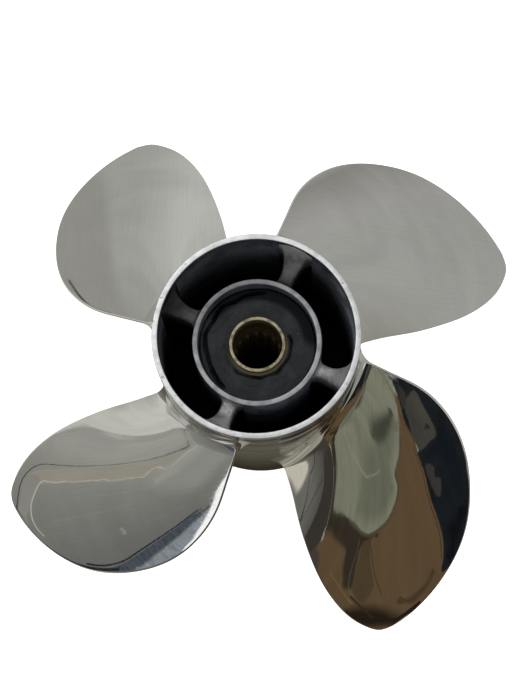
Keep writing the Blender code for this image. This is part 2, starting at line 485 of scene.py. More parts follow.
    def scaled(self, color: object, factor: object) -> bpy.types.NodeSocket:
        """A colour made brighter or darker by a factor."""
        return self.add("ShaderNodeVectorMath", {0: color, "Scale": factor}, operation="SCALE").outputs[0]

    def blend(self, share: object, first: object, second: object, how: str = "MIX") -> bpy.types.NodeSocket:
        """Mixes two colours.

        Args:
            share: share of the second colour.
            first: the first colour.
            second: the second colour.
            how: the way they are mixed.

        Returns:
            The mixed colour's output.
        """
        # The node's sockets 6, 7 and 2 are the ones for colours.
        node = self.add("ShaderNodeMix", {0: share, 6: first, 7: second}, data_type="RGBA", blend_type=how)
        return node.outputs[2]

    def ramp(self, value: object, stops: list[tuple[float, Color]]) -> bpy.types.NodeSocket:
        """Colours along a value from 0 to 1.

        Args:
            value: the value.
            stops: rising positions with their colours.

        Returns:
            The colour's output.
        """
        node = self.add("ShaderNodeValToRGB", {"Fac": value})
        elements = node.color_ramp.elements
        for element, (position, color) in zip(elements, (stops[0], stops[-1])):
            element.position = position
            element.color = (*color, 1.0)
        for position, color in stops[1:-1]:
            elements.new(position).color = (*color, 1.0)
        return node.outputs[0]

    def become_light(self, color: object, cover: bpy.types.NodeSocket | None = None) -> None:
        """Turns the material into light that is see-through where it isn't covered.

        Args:
            color: the light's colour.
            cover: share of the light, from 0 for see-through to 1, or None for all of it.
        """
        light = self.add("ShaderNodeEmission", {"Color": color}).outputs[0]
        if cover is not None:
            clear = self.add("ShaderNodeBsdfTransparent").outputs[0]
            light = self.add("ShaderNodeMixShader", {0: cover, 1: clear, 2: light}).outputs[0]
        self.nodes.remove(self.shader)
        self.links.new(light, self.nodes["Material Output"].inputs["Surface"])

    def bump(self, height: bpy.types.NodeSocket, depth: float,
             under: bpy.types.NodeSocket | None = None) -> bpy.types.NodeSocket:
        """Relief too fine for the mesh.

        Args:
            height: the relief from 0 to 1.
            depth: its depth in metres.
            under: the normal that it lies on, for relief upon relief.

        Returns:
            The bent normal's output.
        """
        node = self.add("ShaderNodeBump", {"Height": height, "Distance": depth, "Strength": 1.0})
        if under is not None:
            self.feed(node.inputs["Normal"], under)
        return node.outputs[0]

    def finish(self, color: object, roughness: object, normal: bpy.types.NodeSocket,
               metallic: object = 1.0) -> bpy.types.Material:
        """Feeds the shader and closes the material.

        Args:
            color: base colour.
            roughness: roughness.
            normal: the bent normal.
            metallic: metal's share.

        Returns:
            The material.
        """
        for socket, value in (("Base Color", color), ("Roughness", roughness), ("Metallic", metallic),
                              ("Normal", normal)):
            self.feed(self.shader.inputs[socket], value)
        return self.owner


@dataclass(frozen=True)
class MirrorSteel:
    """Cast stainless steel, ground and buffed to a mirror, with the buffing's streaks and a few smudges."""

    name: str
    uv: str
    color: Color = (0.64, 0.64, 0.635)
    smudge_color: Color = (0.54, 0.53, 0.50)
    roughness: float = 0.035
    wander: Point = (0.01, 0.03)
    wave: Pattern = Pattern(26, 1)
    wave_depth: float = 0.00005
    streak: Pattern = Pattern(1, 3, 0.6, 0.42, 0.68, 0.26, stretch=(30, 900, 120))
    streak_depth: float = 0.0000026
    smudge: Pattern = Pattern(38, 4, 0.6, 0.56, 0.74)
    smudge_share: float = 0.22
    smudge_roughness: float = 0.05
    fleck: Pattern = Pattern(1, 2, 0.5, 0.68, 0.80, 0.08, stretch=(90, 500, 90), turn=0.5)
    file_strokes: tuple[Pattern, Pattern] = (
        Pattern(1, 2, 0.5, 0.54, 0.66, stretch=(50, 1100, 50), turn=0.62),
        Pattern(1, 2, 0.5, 0.56, 0.68, stretch=(60, 1300, 60), turn=-0.85),
    )
    file_roughness: float = 0.07

    def material(self) -> bpy.types.Material:
        """Builds the finish and returns its material."""
        graph = Graph.of_material(self.name, self.uv)
        streak = graph.noise(self.streak)
        smudge = graph.marks(self.smudge)
        tone = graph.blend(graph.marks(self.streak, streak), self.color, self.smudge_color)
        tone = graph.blend(graph.times(smudge, self.smudge_share), tone, self.smudge_color)
        filed = graph.math("MAXIMUM", *(graph.marks(strokes) for strokes in self.file_strokes))
        rough = graph.vary(streak, self.roughness, *self.wander)
        for extra in (graph.times(smudge, self.smudge_roughness), graph.marks(self.fleck),
                      graph.times(graph.times(filed, graph.stored("dressed")), self.file_roughness)):
            rough = graph.math("ADD", rough, extra)
        normal = graph.bump(graph.noise(self.wave), self.wave_depth)
        return graph.finish(tone, rough, graph.bump(streak, self.streak_depth, normal))


@dataclass(frozen=True)
class BrushedSteel:
    """Polished steel with the belt's fine lines round the axis, and rings of other tones near the front.

    Each brightness band is a height and its share of the steel's brightness.
    """

    name: str
    color: Color = (0.80, 0.79, 0.745)
    line_color: Color = (0.26, 0.25, 0.22)
    roughness: float = 0.17
    wander: Point = (0.04, 0.08)
    line: Pattern = Pattern(1, 3, 0.7, 0.46, 0.68, 0.75, stretch=(10, 10, 1300))
    line_depth: float = 0.000008
    broad: Pattern = Pattern(1, 4, 0.7, 0.44, 0.64, 0.5, stretch=(20, 20, 210))
    dash: Pattern = Pattern(1, 3, 0.6, 0.56, 0.68, 0.55, stretch=(75, 75, 260))
    smudge: Pattern = Pattern(60, 4, 0.6, 0.50, 0.72)
    smudge_share: float = 0.3
    smudge_roughness: float = 0.06
    wave: Pattern = Pattern(90)
    wave_depth: float = 0.00003
    body_share: float = 0.75
    ring_heights: Point = (0.100, 0.140)
    brightness_bands: tuple[Point, ...] = (
        (0.1015, 0.75), (0.1050, 0.56), (0.1090, 0.48), (0.1125, 0.56), (0.1163, 1.0), (0.1198, 0.62),
        (0.1232, 0.28), (0.1272, 0.18), (0.1305, 0.42), (0.1345, 1.0),
    )

    def material(self) -> bpy.types.Material:
        """Builds the finish and returns its material."""
        graph = Graph.of_material(self.name)
        line = graph.noise(self.line)
        smudge = graph.marks(self.smudge)
        tone = self.color
        for share in (graph.marks(self.line, line), graph.marks(self.broad), graph.marks(self.dash),
                      graph.times(smudge, self.smudge_share)):
            tone = graph.blend(share, tone, self.line_color)
        low, high = self.ring_heights
        stops = [(0.0, (self.body_share,) * 3)]
        stops += [((level - low) / (high - low), (share,) * 3) for level, share in self.brightness_bands]
        rise = graph.math("DIVIDE", graph.math("SUBTRACT", graph.axes()[2], low), high - low)
        tone = graph.blend(1.0, tone, graph.ramp(rise, stops), "MULTIPLY")
        rough = graph.vary(line, self.roughness, *self.wander)
        rough = graph.math("ADD", rough, graph.times(smudge, self.smudge_roughness))
        normal = graph.bump(line, self.line_depth)
        return graph.finish(tone, rough, graph.bump(graph.noise(self.wave), self.wave_depth, normal))


@dataclass(frozen=True)
class TurnedSteel:
    """A face left from the lathe: satin, with fine rings round the axis and small nicks, and painted shade
    towards one side by its shade share.
    """

    name: str
    color: Color = (0.50, 0.51, 0.51)
    dull_color: Color = (0.39, 0.40, 0.40)
    nick_color: Color = (0.16, 0.16, 0.16)
    shade_color: Color = (0.045, 0.046, 0.048)
    roughness: float = 0.28
    wander: Point = (0.05, 0.07)
    shade_share: float = 0.0
    shade_side: Triple = (-0.50, 0.87, 0.0)
    shade_reach: Point = (0.004, 0.036)
    ring: Pattern = Pattern(2600, 2, 0.7)
    ring_depth: float = 0.000004
    patch: Pattern = Pattern(160, 4, 0.6, 0.40, 0.66)
    nick: Pattern = Pattern(420, 1, 0.5, 0.70, 0.78)
    nick_share: float = 0.6
    nick_depth: float = 0.00012

    def material(self) -> bpy.types.Material:
        """Builds the finish and returns its material."""
        graph = Graph.of_material(self.name)
        ring = graph.noise(self.ring, graph.add("ShaderNodeCombineXYZ", {"X": graph.off_axis()}).outputs[0])
        nick = graph.marks(self.nick)
        tone = graph.blend(graph.marks(self.patch), self.color, self.dull_color)
        tone = graph.blend(graph.times(nick, self.nick_share), tone, self.nick_color)
        # Painted shade: the face darkens towards its shade side.
        shade = graph.span(graph.along(self.shade_side), *self.shade_reach, 0.0, self.shade_share)
        tone = graph.blend(shade, tone, self.shade_color)
        normal = graph.bump(graph.rest_of(nick), self.nick_depth, graph.bump(ring, self.ring_depth))
        return graph.finish(tone, graph.vary(ring, self.roughness, *self.wander), normal)


@dataclass(frozen=True)
class CastSteel:
    """Stainless steel as it came from the mould, blasted, with pits, and near black with painted shade where
    the mesh stores its share.
    """

    name: str
    color: Color = (0.40, 0.40, 0.405)
    dark_color: Color = (0.20, 0.19, 0.18)
    painted_shade_color: Color = (0.003, 0.0032, 0.0036)
    roughness: float = 0.42
    wander: Point = (0.07, 0.10)
    metal_share: float = 0.45
    gloss: float = 0.12
    grain: Pattern = Pattern(900, 3, 0.6)
    grain_depth: float = 0.00010
    patch: Pattern = Pattern(110, 4, 0.6, 0.42, 0.68)
    pit_scale: float = 700.0
    pit_range: Point = (0.08, 0.26)
    pit_share: float = 0.4
    pit_depth: float = 0.00005

    def material(self) -> bpy.types.Material:
        """Builds the finish and returns its material."""
        graph = Graph.of_material(self.name)
        patch = graph.noise(self.patch)
        cells = graph.add("ShaderNodeTexVoronoi", {"Vector": graph.place_in_frame(), "Scale": self.pit_scale})
        level = graph.span(cells.outputs["Distance"], *self.pit_range)
        tone = graph.blend(graph.marks(self.patch, patch), self.color, self.dark_color)
        tone = graph.blend(graph.times(graph.rest_of(level), self.pit_share), tone, self.dark_color)
        # Painted shade: near black, with less metal, where the mesh stores its share, down in the passages.
        painted_shade = graph.stored("painted_shade_share")
        tone = graph.blend(painted_shade, tone, self.painted_shade_color)
        normal = graph.bump(level, self.pit_depth, graph.bump(graph.noise(self.grain), self.grain_depth))
        graph.shader.inputs["Specular IOR Level"].default_value = self.gloss
        metal = graph.times(graph.rest_of(painted_shade), self.metal_share)
        return graph.finish(tone, graph.vary(patch, self.roughness, *self.wander), normal, metal)


@dataclass(frozen=True)
class ShadedPassageSteel:
    """The walls of the exhaust passages: matt, with painted shade almost black down inside, and painted light
    in grey near the rim on the lit sides.
    """

    name: str
    color: Color = (0.010, 0.0115, 0.014)
    lit_color: Color = (0.27, 0.295, 0.34)
    roughness: float = 0.55
    wander: Point = (0.08, 0.12)
    gloss: float = 0.12
    grain: Pattern = Pattern(700, 3, 0.6)
    grain_depth: float = 0.00008
    patch: Pattern = Pattern(60, 4, 0.6, 0.36, 0.56, least=0.4)
    lit_heights: Point = (0.030, 0.122)
    rim_heights: Point = (0.136, 0.122)
    rim_share: float = 0.35
    lit_side: Triple = (0.90, -0.45, 0.0)
    lit_reach: Point = (0.018, 0.048)
    least_lit: float = 0.22
    lower_reach: Point = (-0.026, -0.037)
    lower_share: float = 0.9

    def material(self) -> bpy.types.Material:
        """Builds the finish and returns its material."""
        graph = Graph.of_material(self.name)
        grain = graph.noise(self.grain)
        _, up, height = graph.axes()
        # Painted light: grey near the rim on the lit sides, mottled; elsewhere the walls keep their painted
        # shade.
        near_rim = graph.times(graph.span(height, *self.lit_heights),
                               graph.span(height, *self.rim_heights, self.rim_share, 1.0))
        beside = graph.span(graph.along(self.lit_side), *self.lit_reach, self.least_lit, 1.0)
        side = graph.math("MAXIMUM", beside, graph.span(up, *self.lower_reach, 0.0, self.lower_share))
        painted_light = graph.times(graph.times(near_rim, side), graph.marks(self.patch))
        tone = graph.blend(painted_light, self.color, self.lit_color)
        graph.shader.inputs["Specular IOR Level"].default_value = self.gloss
        rough = graph.vary(grain, self.roughness, *self.wander)
        return graph.finish(tone, rough, graph.bump(grain, self.grain_depth), 0.0)


@dataclass(frozen=True)
class MouldedRubber:
    """Black rubber greyed by dust, with a painted shadow along its upper rim, and brown at the sleeve's lower
    edge.
    """

    name: str
    color: Color = (0.0052, 0.0068, 0.0080)
    dust_color: Color = (0.0300, 0.0345, 0.0355)
    speck_color: Color = (0.22, 0.21, 0.19)
    dark_color: Color = (0.0036, 0.0044, 0.0054)
    lip_color: Color = (0.105, 0.080, 0.040)
    roughness: float = 0.56
    wander: Point = (0.08, 0.20)
    gloss: Point = (0.25, 0.06)
    ring: Pattern = Pattern(900)
    ring_depth: float = 0.00006
    dust: Pattern = Pattern(95, 5, 0.65, 0.38, 0.66, 0.85)
    speck: Pattern = Pattern(1400, 2, 0.5, 0.69, 0.76, 0.7)
    grit: Pattern = Pattern(600, 4, 0.6)
    grit_depth: float = 0.00026
    shadow_side: Triple = (0.30, 0.95, 0.0)
    shadow_reach: Point = (0.004, 0.014)
    shadow_radii: Point = (0.0255, 0.0290)
    shadow_share: float = 0.9
    lip_side: Triple = (0.35, -0.94, 0.0)
    lip_reach: Point = (-0.004, 0.009)
    lip_radii: Point = (0.0184, 0.0177)

    def material(self) -> bpy.types.Material:
        """Builds the finish and returns its material."""
        graph = Graph.of_material(self.name)
        radius = graph.off_axis()
        ring = graph.noise(self.ring, graph.add("ShaderNodeCombineXYZ", {"X": radius}).outputs[0])
        dust = graph.noise(self.dust)
        # Painted shadow: a dark, duller band along the upper rim, beside the hub's wall.
        dark = graph.times(graph.span(graph.along(self.shadow_side), *self.shadow_reach, 0.0, self.shadow_share),
                           graph.span(radius, *self.shadow_radii))
        lip = graph.times(graph.span(graph.along(self.lip_side), *self.lip_reach),
                          graph.span(radius, *self.lip_radii))
        tone = self.color
        for share, color in ((graph.marks(self.dust, dust), self.dust_color),
                             (graph.marks(self.speck), self.speck_color),
                             (dark, self.dark_color), (lip, self.lip_color)):
            tone = graph.blend(share, tone, color)
        normal = graph.bump(graph.noise(self.grit), self.grit_depth, graph.bump(ring, self.ring_depth))
        graph.feed(graph.shader.inputs["Specular IOR Level"], graph.span(dark, 0.0, 1.0, *self.gloss))
        return graph.finish(tone, graph.vary(dust, self.roughness, *self.wander), normal, 0.0)


@dataclass(frozen=True)
class DullBrass:
    """Machined brass that has dulled, with painted shade darker down in its bore and darkest, with less
    metal, where the splines begin.
    """

    name: str
    color: Color = (0.29, 0.255, 0.165)
    dark_color: Color = (0.030, 0.020, 0.009)
    bore_shade_color: Color = (0.12, 0.085, 0.032)
    deep_shade_color: Color = (0.085, 0.062, 0.026)
    roughness: float = 0.36
    wander: Point = (0.06, 0.14)
    metal_share: float = 0.75
    patch: Pattern = Pattern(240, 4, 0.65, 0.42, 0.70, 0.6)
    grit: Pattern = Pattern(1100, 3, 0.6)
    grit_depth: float = 0.00004
    bore_heights: Point = (0.1085, 0.1025)
    deep_shade_heights: Point = (0.098, 0.082)
    deep_shade_roughness: float = 0.4

    def material(self) -> bpy.types.Material:
        """Builds the finish and returns its material."""
        graph = Graph.of_material(self.name)
        height = graph.axes()[2]
        patch = graph.noise(self.patch)
        # Painted shade: the bore darkens with depth, and deeper still loses its metal so the splines stay
        # dark.
        deep = graph.span(height, *self.bore_heights)
        deep_shade = graph.span(height, *self.deep_shade_heights)
        tone = self.color
        for share, color in ((graph.marks(self.patch, patch), self.dark_color), (deep, self.bore_shade_color),
                             (deep_shade, self.deep_shade_color)):
            tone = graph.blend(share, tone, color)
        rough = graph.vary(patch, self.roughness, *self.wander)
        rough = graph.math("ADD", rough, graph.times(deep_shade, self.deep_shade_roughness))
        metal = graph.times(graph.rest_of(deep_shade), self.metal_share)
        return graph.finish(tone, rough, graph.bump(graph.noise(self.grit), self.grit_depth), metal)


@dataclass(frozen=True)
class Finishes:
    """Every finish of the propeller, built once and shared."""

    blade: bpy.types.Material
    flank: bpy.types.Material
    rim: bpy.types.Material
    cast: bpy.types.Material
    ring_face: bpy.types.Material
    painted_shade: bpy.types.Material
    # The passages' finish: painted shade, with painted light near the rim.
    rubber: bpy.types.Material
    brass: bpy.types.Material

    @staticmethod
    def build() -> "Finishes":
        """Builds all materials and returns them together."""
        # The inner hub's ring face takes painted shade towards its upper left.
        ring_face = TurnedSteel("turned_steel_ring", color=(0.26, 0.265, 0.27),
                                dull_color=(0.17, 0.175, 0.18), roughness=0.34, shade_share=0.55)
        return Finishes(
            blade=MirrorSteel("mirror_steel_blade", "plan").material(),
            flank=BrushedSteel("brushed_steel_barrel").material(),
            rim=TurnedSteel("turned_steel_rim").material(),
            cast=CastSteel("cast_steel").material(),
            ring_face=ring_face.material(),
            painted_shade=ShadedPassageSteel("passage_steel_shaded").material(),
            rubber=MouldedRubber("moulded_rubber").material(),
            brass=DullBrass("dull_brass").material(),
        )


# The propeller's pieces


@dataclass(frozen=True)
class Barrel:
    """The outer hub tube, with a flat rim, a front collar and the groove behind it.

    A corner of the rim or the bore is how far it lies in from the wall's face and below the front, and its
    rounding.
    """

    length: float = 0.1370
    front_radius: float = 0.0603
    taper: float = 0.0013
    wall: float = 0.0036
    collar_length: float = 0.0088
    groove_width: float = 0.0016
    groove_depth: float = 0.0007
    scribe_depth: float = 0.00022
    scribe_rounding: float = 0.00005
    scribe_backs: Point = (0.0045, 0.0262)
    body_heights: Triple = (0.03, 0.06, 0.09)
    rim_depth: float = 0.0008
    rim_edge: float = 0.00015
    rim_corners: tuple[Triple, ...] = ((0.0001, 0.0004, 0.0001), (0.0003, 0.0, 0.0001))
    bore_corners: tuple[Triple, ...] = ((0.0004, 0.0, 0.0002), (0.0, 0.0006, 0.0002))
    rear_roundings: Point = (0.0003, 0.0006)
    groove_roundings: Point = (0.0002, 0.0001)
    groove_slope: float = 0.0003
    groove_tone_share: float = 0.6
    bore_heights: tuple[float, ...] = (0.12, 0.09, 0.06, 0.03)
    bore_slack: float = 0.0001
    corner_steps: int = 3
    segments: int = 256

    def radius(self, height: np.ndarray) -> np.ndarray:
        """Radius of the barrel's outside at a height.

        Args:
            height: heights above the floor.

        Returns:
            The radius, along the barrel's even taper.
        """
        return self.front_radius - self.taper * (1 - height / self.length)

    def bore_radius(self) -> float:
        """Radius of the barrel's inside."""
        return self.front_radius - self.wall

    def profile(self) -> list[Point]:
        """The closed profile from the rear bore edge round the outside to the front bore edge."""
        bore = self.bore_radius()
        front = self.length
        at_bore, at_outside = self.rear_roundings
        corners = [(bore, 0.0, at_bore), (self.radius(0.0), 0.0, at_outside)]
        corners += [(self.radius(height), height, 0.0) for height in self.body_heights]
        corners += self.scribe(front - self.scribe_backs[1])
        groove_front = front - self.collar_length
        groove_rear = groove_front - self.groove_width
        floor_radius = self.radius(groove_rear) - self.groove_depth
        at_edge, at_floor = self.groove_roundings
        corners += [
            (self.radius(groove_rear), groove_rear, at_edge),
            (floor_radius, groove_rear + self.groove_slope, at_floor),
            (floor_radius, groove_front - self.groove_slope, at_floor),
            (self.radius(groove_front), groove_front, at_edge),
        ]
        corners += self.scribe(front - self.scribe_backs[0])
        corners += [(self.front_radius - inset, front - drop, arc) for inset, drop, arc in self.rim_corners]
        corners += [(bore + inset, front - drop, arc) for inset, drop, arc in self.bore_corners]
        corners += [(bore, height, 0.0) for height in self.bore_heights]
        return rounded(corners, self.corner_steps)

    def scribe(self, height: float) -> list[Triple]:
        """A fine turned line round the outside.

        Args:
            height: the line's height.

        Returns:
            Its corners for the profile, from rear to front.
        """
        radius, reach = self.radius(height), self.scribe_depth
        line = ((radius, height - reach), (radius - reach, height), (radius, height + reach))
        return [(*corner, self.scribe_rounding) for corner in line]

    def build(self, finishes: Finishes) -> None:
        """Makes the barrel.

        Args:
            finishes: the propeller's finishes.
        """
        mesh = Skin.turned("barrel_shell", self.profile(), self.segments)
        Skin.coat(mesh, finishes.flank, finishes.rim, finishes.painted_shade)
        bore = self.bore_radius()
        # The rim takes the turned finish; the bore and the groove take the passages' finish, which is painted
        # shade.
        for polygon in mesh.polygons:
            x, y, height = polygon.center
            radius = math.hypot(x, y)
            tone_radius = self.radius(height) - self.groove_depth * self.groove_tone_share
            in_groove = bore + self.wall / 2 < radius < tone_radius
            if height > self.length - self.rim_depth and radius < self.front_radius - self.rim_edge:
                polygon.material_index = 1
            elif radius < bore + self.bore_slack or in_groove:
                polygon.material_index = 2
        fit_piece(mesh, "barrel")


@dataclass(frozen=True)
class Blade:
    """One blade: helical pressure face, crowned suction face, swept outline and a fillet at its root.

    Stations along the span are shares from the barrel to the tip, with the angles of both edges there.
    """

    index: int
    barrel: Barrel
    count: int = 4
    tip_radius: float = 0.1778
    shares: tuple[float, ...] = (0.0, 0.17, 0.32, 0.47, 0.62, 0.77, 0.88, 0.955, 1.0)
    leading_angles: tuple[float, ...] = (80.6, 78.0, 76.4, 72.9, 67.1, 58.4, 49.8, 39.9, 27.7)
    trailing_angles: tuple[float, ...] = (13.4, 14.2, 14.0, 14.5, 15.6, 17.7, 20.2, 22.9)
    depth: float = 0.0700
    depth_angle: float = math.radians(35.0)
    pitch_at_root: float = 0.413
    pitch_at_tip: float = 0.317
    rake: float = 0.0332
    rake_sweep: float = 0.0230
    root_thickness: float = 0.0102
    tip_thickness: float = 0.0022
    edge_thickness: float = 0.0016
    thinning: float = 1.4
    suction_share: float = 0.75
    root_fillet: float = 0.0080
    buried: float = 0.0008
    tip_stop: float = 0.02
    plan_shift: Point = (1.7, 0.9)
    dressed_index: int = 2
    dressed_width: float = 0.11
    dressed_from: Point = (0.088, 0.100)
    span_rows: int = 74
    fillet_rows: int = 14
    chord_columns: int = 90
    edge_columns: int = 8

    def edge_angle(self, turn: np.ndarray) -> np.ndarray:
        """Angle of the blade's outline.

        Args:
            turn: 0 at the leading root, a quarter circle at the tip and half a circle at the trailing root.

        Returns:
            The angle from +X, in radians.
        """
        rise = np.arcsin(self.shares)
        knots = np.concatenate([rise, math.pi - rise[-2::-1]])
        return spline_through(knots, np.radians(self.leading_angles + self.trailing_angles[::-1]), turn)

    def height(self, angle: np.ndarray, share: np.ndarray) -> np.ndarray:
        """Height of the pressure face from its pitch and its rake.

        Args:
            angle: angles from +X.
            share: shares of the span.

        Returns:
            The heights above the floor.
        """
        pitch = self.pitch_at_root + (self.pitch_at_tip - self.pitch_at_root) * share
        drop = self.rake * share + self.rake_sweep * share**3
        climb = pitch / math.tau * (angle - self.depth_angle)
        return self.barrel.length - self.depth - drop + climb

    def thickness(self, share: np.ndarray, across: np.ndarray) -> np.ndarray:
        """Thickness of the blade.

        Args:
            share: shares of the span.
            across: -1 at the trailing edge to 1 at the leading edge.

        Returns:
            The thickness there.
        """
        inward = np.clip(1 - share, 0, 1)**self.thinning
        full = self.tip_thickness + (self.root_thickness - self.tip_thickness) * inward
        edge = np.minimum(self.edge_thickness, full)
        return edge + (full - edge) * (1 - across**2)

    def rows(self) -> np.ndarray:
        """The outline turn of every row: in the barrel, round the fillet, then evenly up to the tip."""
        span = self.tip_radius - self.barrel.front_radius
        bends = np.linspace(0, math.pi / 2, self.fillet_rows, endpoint=False)
        in_fillet = np.arcsin(self.root_fillet * (1 - np.cos(bends)) / span)
        fillet_end = math.asin(self.root_fillet / span)
        to_tip = np.linspace(fillet_end, math.pi / 2 - self.tip_stop, self.span_rows)
        return np.concatenate([[-math.asin(self.buried / span)], in_fillet, to_tip])

    def columns(self) -> tuple[np.ndarray, np.ndarray]:
        """Where each column of the skin lies.

        Returns:
            Its place across the chord, and through the thickness from -1 to 1, once round the section.
        """
        even = np.linspace(-1, 1, self.chord_columns)
        face = (even + np.sin(math.pi / 2 * even)) / 2
        round_edge = np.cos(np.linspace(0, math.pi, self.edge_columns + 2)[1:-1])
        edge = np.ones(self.edge_columns)
        across = np.concatenate([face, edge, face[::-1], -edge])
        layer = np.concatenate([np.ones_like(face), round_edge, -np.ones_like(face), -round_edge])
        return across, layer

    def points(self) -> np.ndarray:
        """The skin's points in the first blade's place, as rows along the span by columns round it."""
        turn = self.rows()[:, None]
        across, layer = (numbers[None, :] for numbers in self.columns())
        share = np.sin(turn)
        span = self.tip_radius - self.barrel.front_radius
        radius = self.barrel.front_radius + span * share
        climb = (self.pitch_at_root + (self.pitch_at_tip - self.pitch_at_root) * share) / math.tau
        length = np.hypot(radius, climb)

        inset = self.edge_thickness / 2 / length
        leading = self.edge_angle(turn) - inset
        trailing = self.edge_angle(math.pi - turn) + inset
        angle = (leading + trailing) / 2 + (leading - trailing) / 2 * across
        height = self.height(angle, share)

        thickness = self.thickness(share, across)
        half = thickness / 2 + fillet_reach(np.clip(span * share, 0, None), self.root_fillet)
        lift = thickness * (self.suction_share - 0.5) * (1 - across**2) + layer * half
        edge_side = np.where(np.abs(across) > 1 - 1e-9, np.sign(across), 0)
        push = edge_side * half * np.sqrt(np.clip(1 - layer**2, 0, 1))
        angle = angle + (push * radius - lift * climb) / length / radius
        height = height + (push * climb + lift * radius) / length
        follow = (self.barrel.front_radius - self.barrel.radius(height)) * (1 - share)
        return polar(radius - follow, angle, height)

    def build(self, finishes: Finishes) -> None:
        """Makes the blade.

        Args:
            finishes: the propeller's finishes.
        """
        name = f"blade_{self.index + 1}_polished"
        points = self.points()
        quarter = self.index * math.tau / self.count
        turned = points @ np.array(Matrix.Rotation(-quarter, 3, "Z"))
        mesh = Skin.from_grid(name, turned, True, False, -self.edge_columns // 2)
        Skin.coat(mesh, finishes.blade)
        self.mark(mesh, points)
        fit_piece(mesh, f"blade_{self.index + 1}")

    def mark(self, mesh: bpy.types.Mesh, points: np.ndarray) -> None:
        """Stores on the mesh what its finish reads: the plan's coordinates, and where the edge was dressed.

        Args:
            mesh: the blade's mesh.
            points: its points in the first blade's place.
        """
        plan = points.reshape(-1, 3)[:, :2] + np.array(self.plan_shift) * self.index
        loops = np.zeros(len(mesh.loops), dtype=np.int32)
        mesh.loops.foreach_get("vertex_index", loops)
        layer = mesh.uv_layers.new(name="plan")
        layer.data.foreach_set("uv", plan[loops].astype(np.float32).ravel())
        dressed = smooth_step(1 - 2 * self.dressed_width, 1 - self.dressed_width, self.columns()[0])
        dressed = dressed * smooth_step(*self.dressed_from, np.hypot(points[..., 0], points[..., 1]))
        Skin.store(mesh, "dressed", dressed * (self.index == self.dressed_index))


@dataclass(frozen=True)
class InnerHub:
    """The inner tube that holds the rubber, with a shoulder at its rear."""

    barrel: Barrel
    radius: float = 0.0381
    wall: float = 0.0033
    front_recess: float = 0.0189
    rear_recess: float = 0.0270
    shoulder_width: float = 0.0045
    shoulder_length: float = 0.0050
    face_depth: float = 0.0004
    edge_rounding: float = 0.0005
    front_rounding: float = 0.0006
    shoulder_roundings: Point = (0.0003, 0.0004)
    body_heights: Point = (0.06, 0.09)
    bore_slack: float = 0.0002
    corner_steps: int = 4
    segments: int = 192

    def front(self) -> float:
        """Height of the front face."""
        return self.barrel.length - self.front_recess

    def bore_radius(self) -> float:
        """Radius of the bore that holds the rubber."""
        return self.radius - self.wall

    def build(self, finishes: Finishes) -> None:
        """Makes the inner hub.

        Args:
            finishes: the propeller's finishes.
        """
        bore = self.bore_radius()
        front = self.front()
        shoulder = self.rear_recess + self.shoulder_length
        in_corner, at_edge = self.shoulder_roundings
        profile = rounded([
            (bore - self.shoulder_width, self.rear_recess, self.edge_rounding),
            (self.radius, self.rear_recess, self.edge_rounding),
            *((self.radius, height, 0.0) for height in self.body_heights),
            (self.radius, front, self.front_rounding),
            (bore, front, self.edge_rounding),
            (bore, self.body_heights[1], 0.0),
            (bore, shoulder, in_corner),
            (bore - self.shoulder_width, shoulder, at_edge),
        ], self.corner_steps)
        mesh = Skin.turned("inner_hub_tube", profile, self.segments)
        Skin.coat(mesh, finishes.cast, finishes.ring_face, finishes.painted_shade)
        # The front face takes the turned finish with its painted shade; the walls take the passages' finish,
        # which is painted shade.
        for polygon in mesh.polygons:
            x, y, height = polygon.center
            radius = math.hypot(x, y)
            on_wall = radius > bore + self.wall / 2 or radius < bore + self.bore_slack
            if height > front - self.face_depth:
                polygon.material_index = 1
            elif height > self.rear_recess and on_wall:
                polygon.material_index = 2
        fit_piece(mesh, "inner_hub")


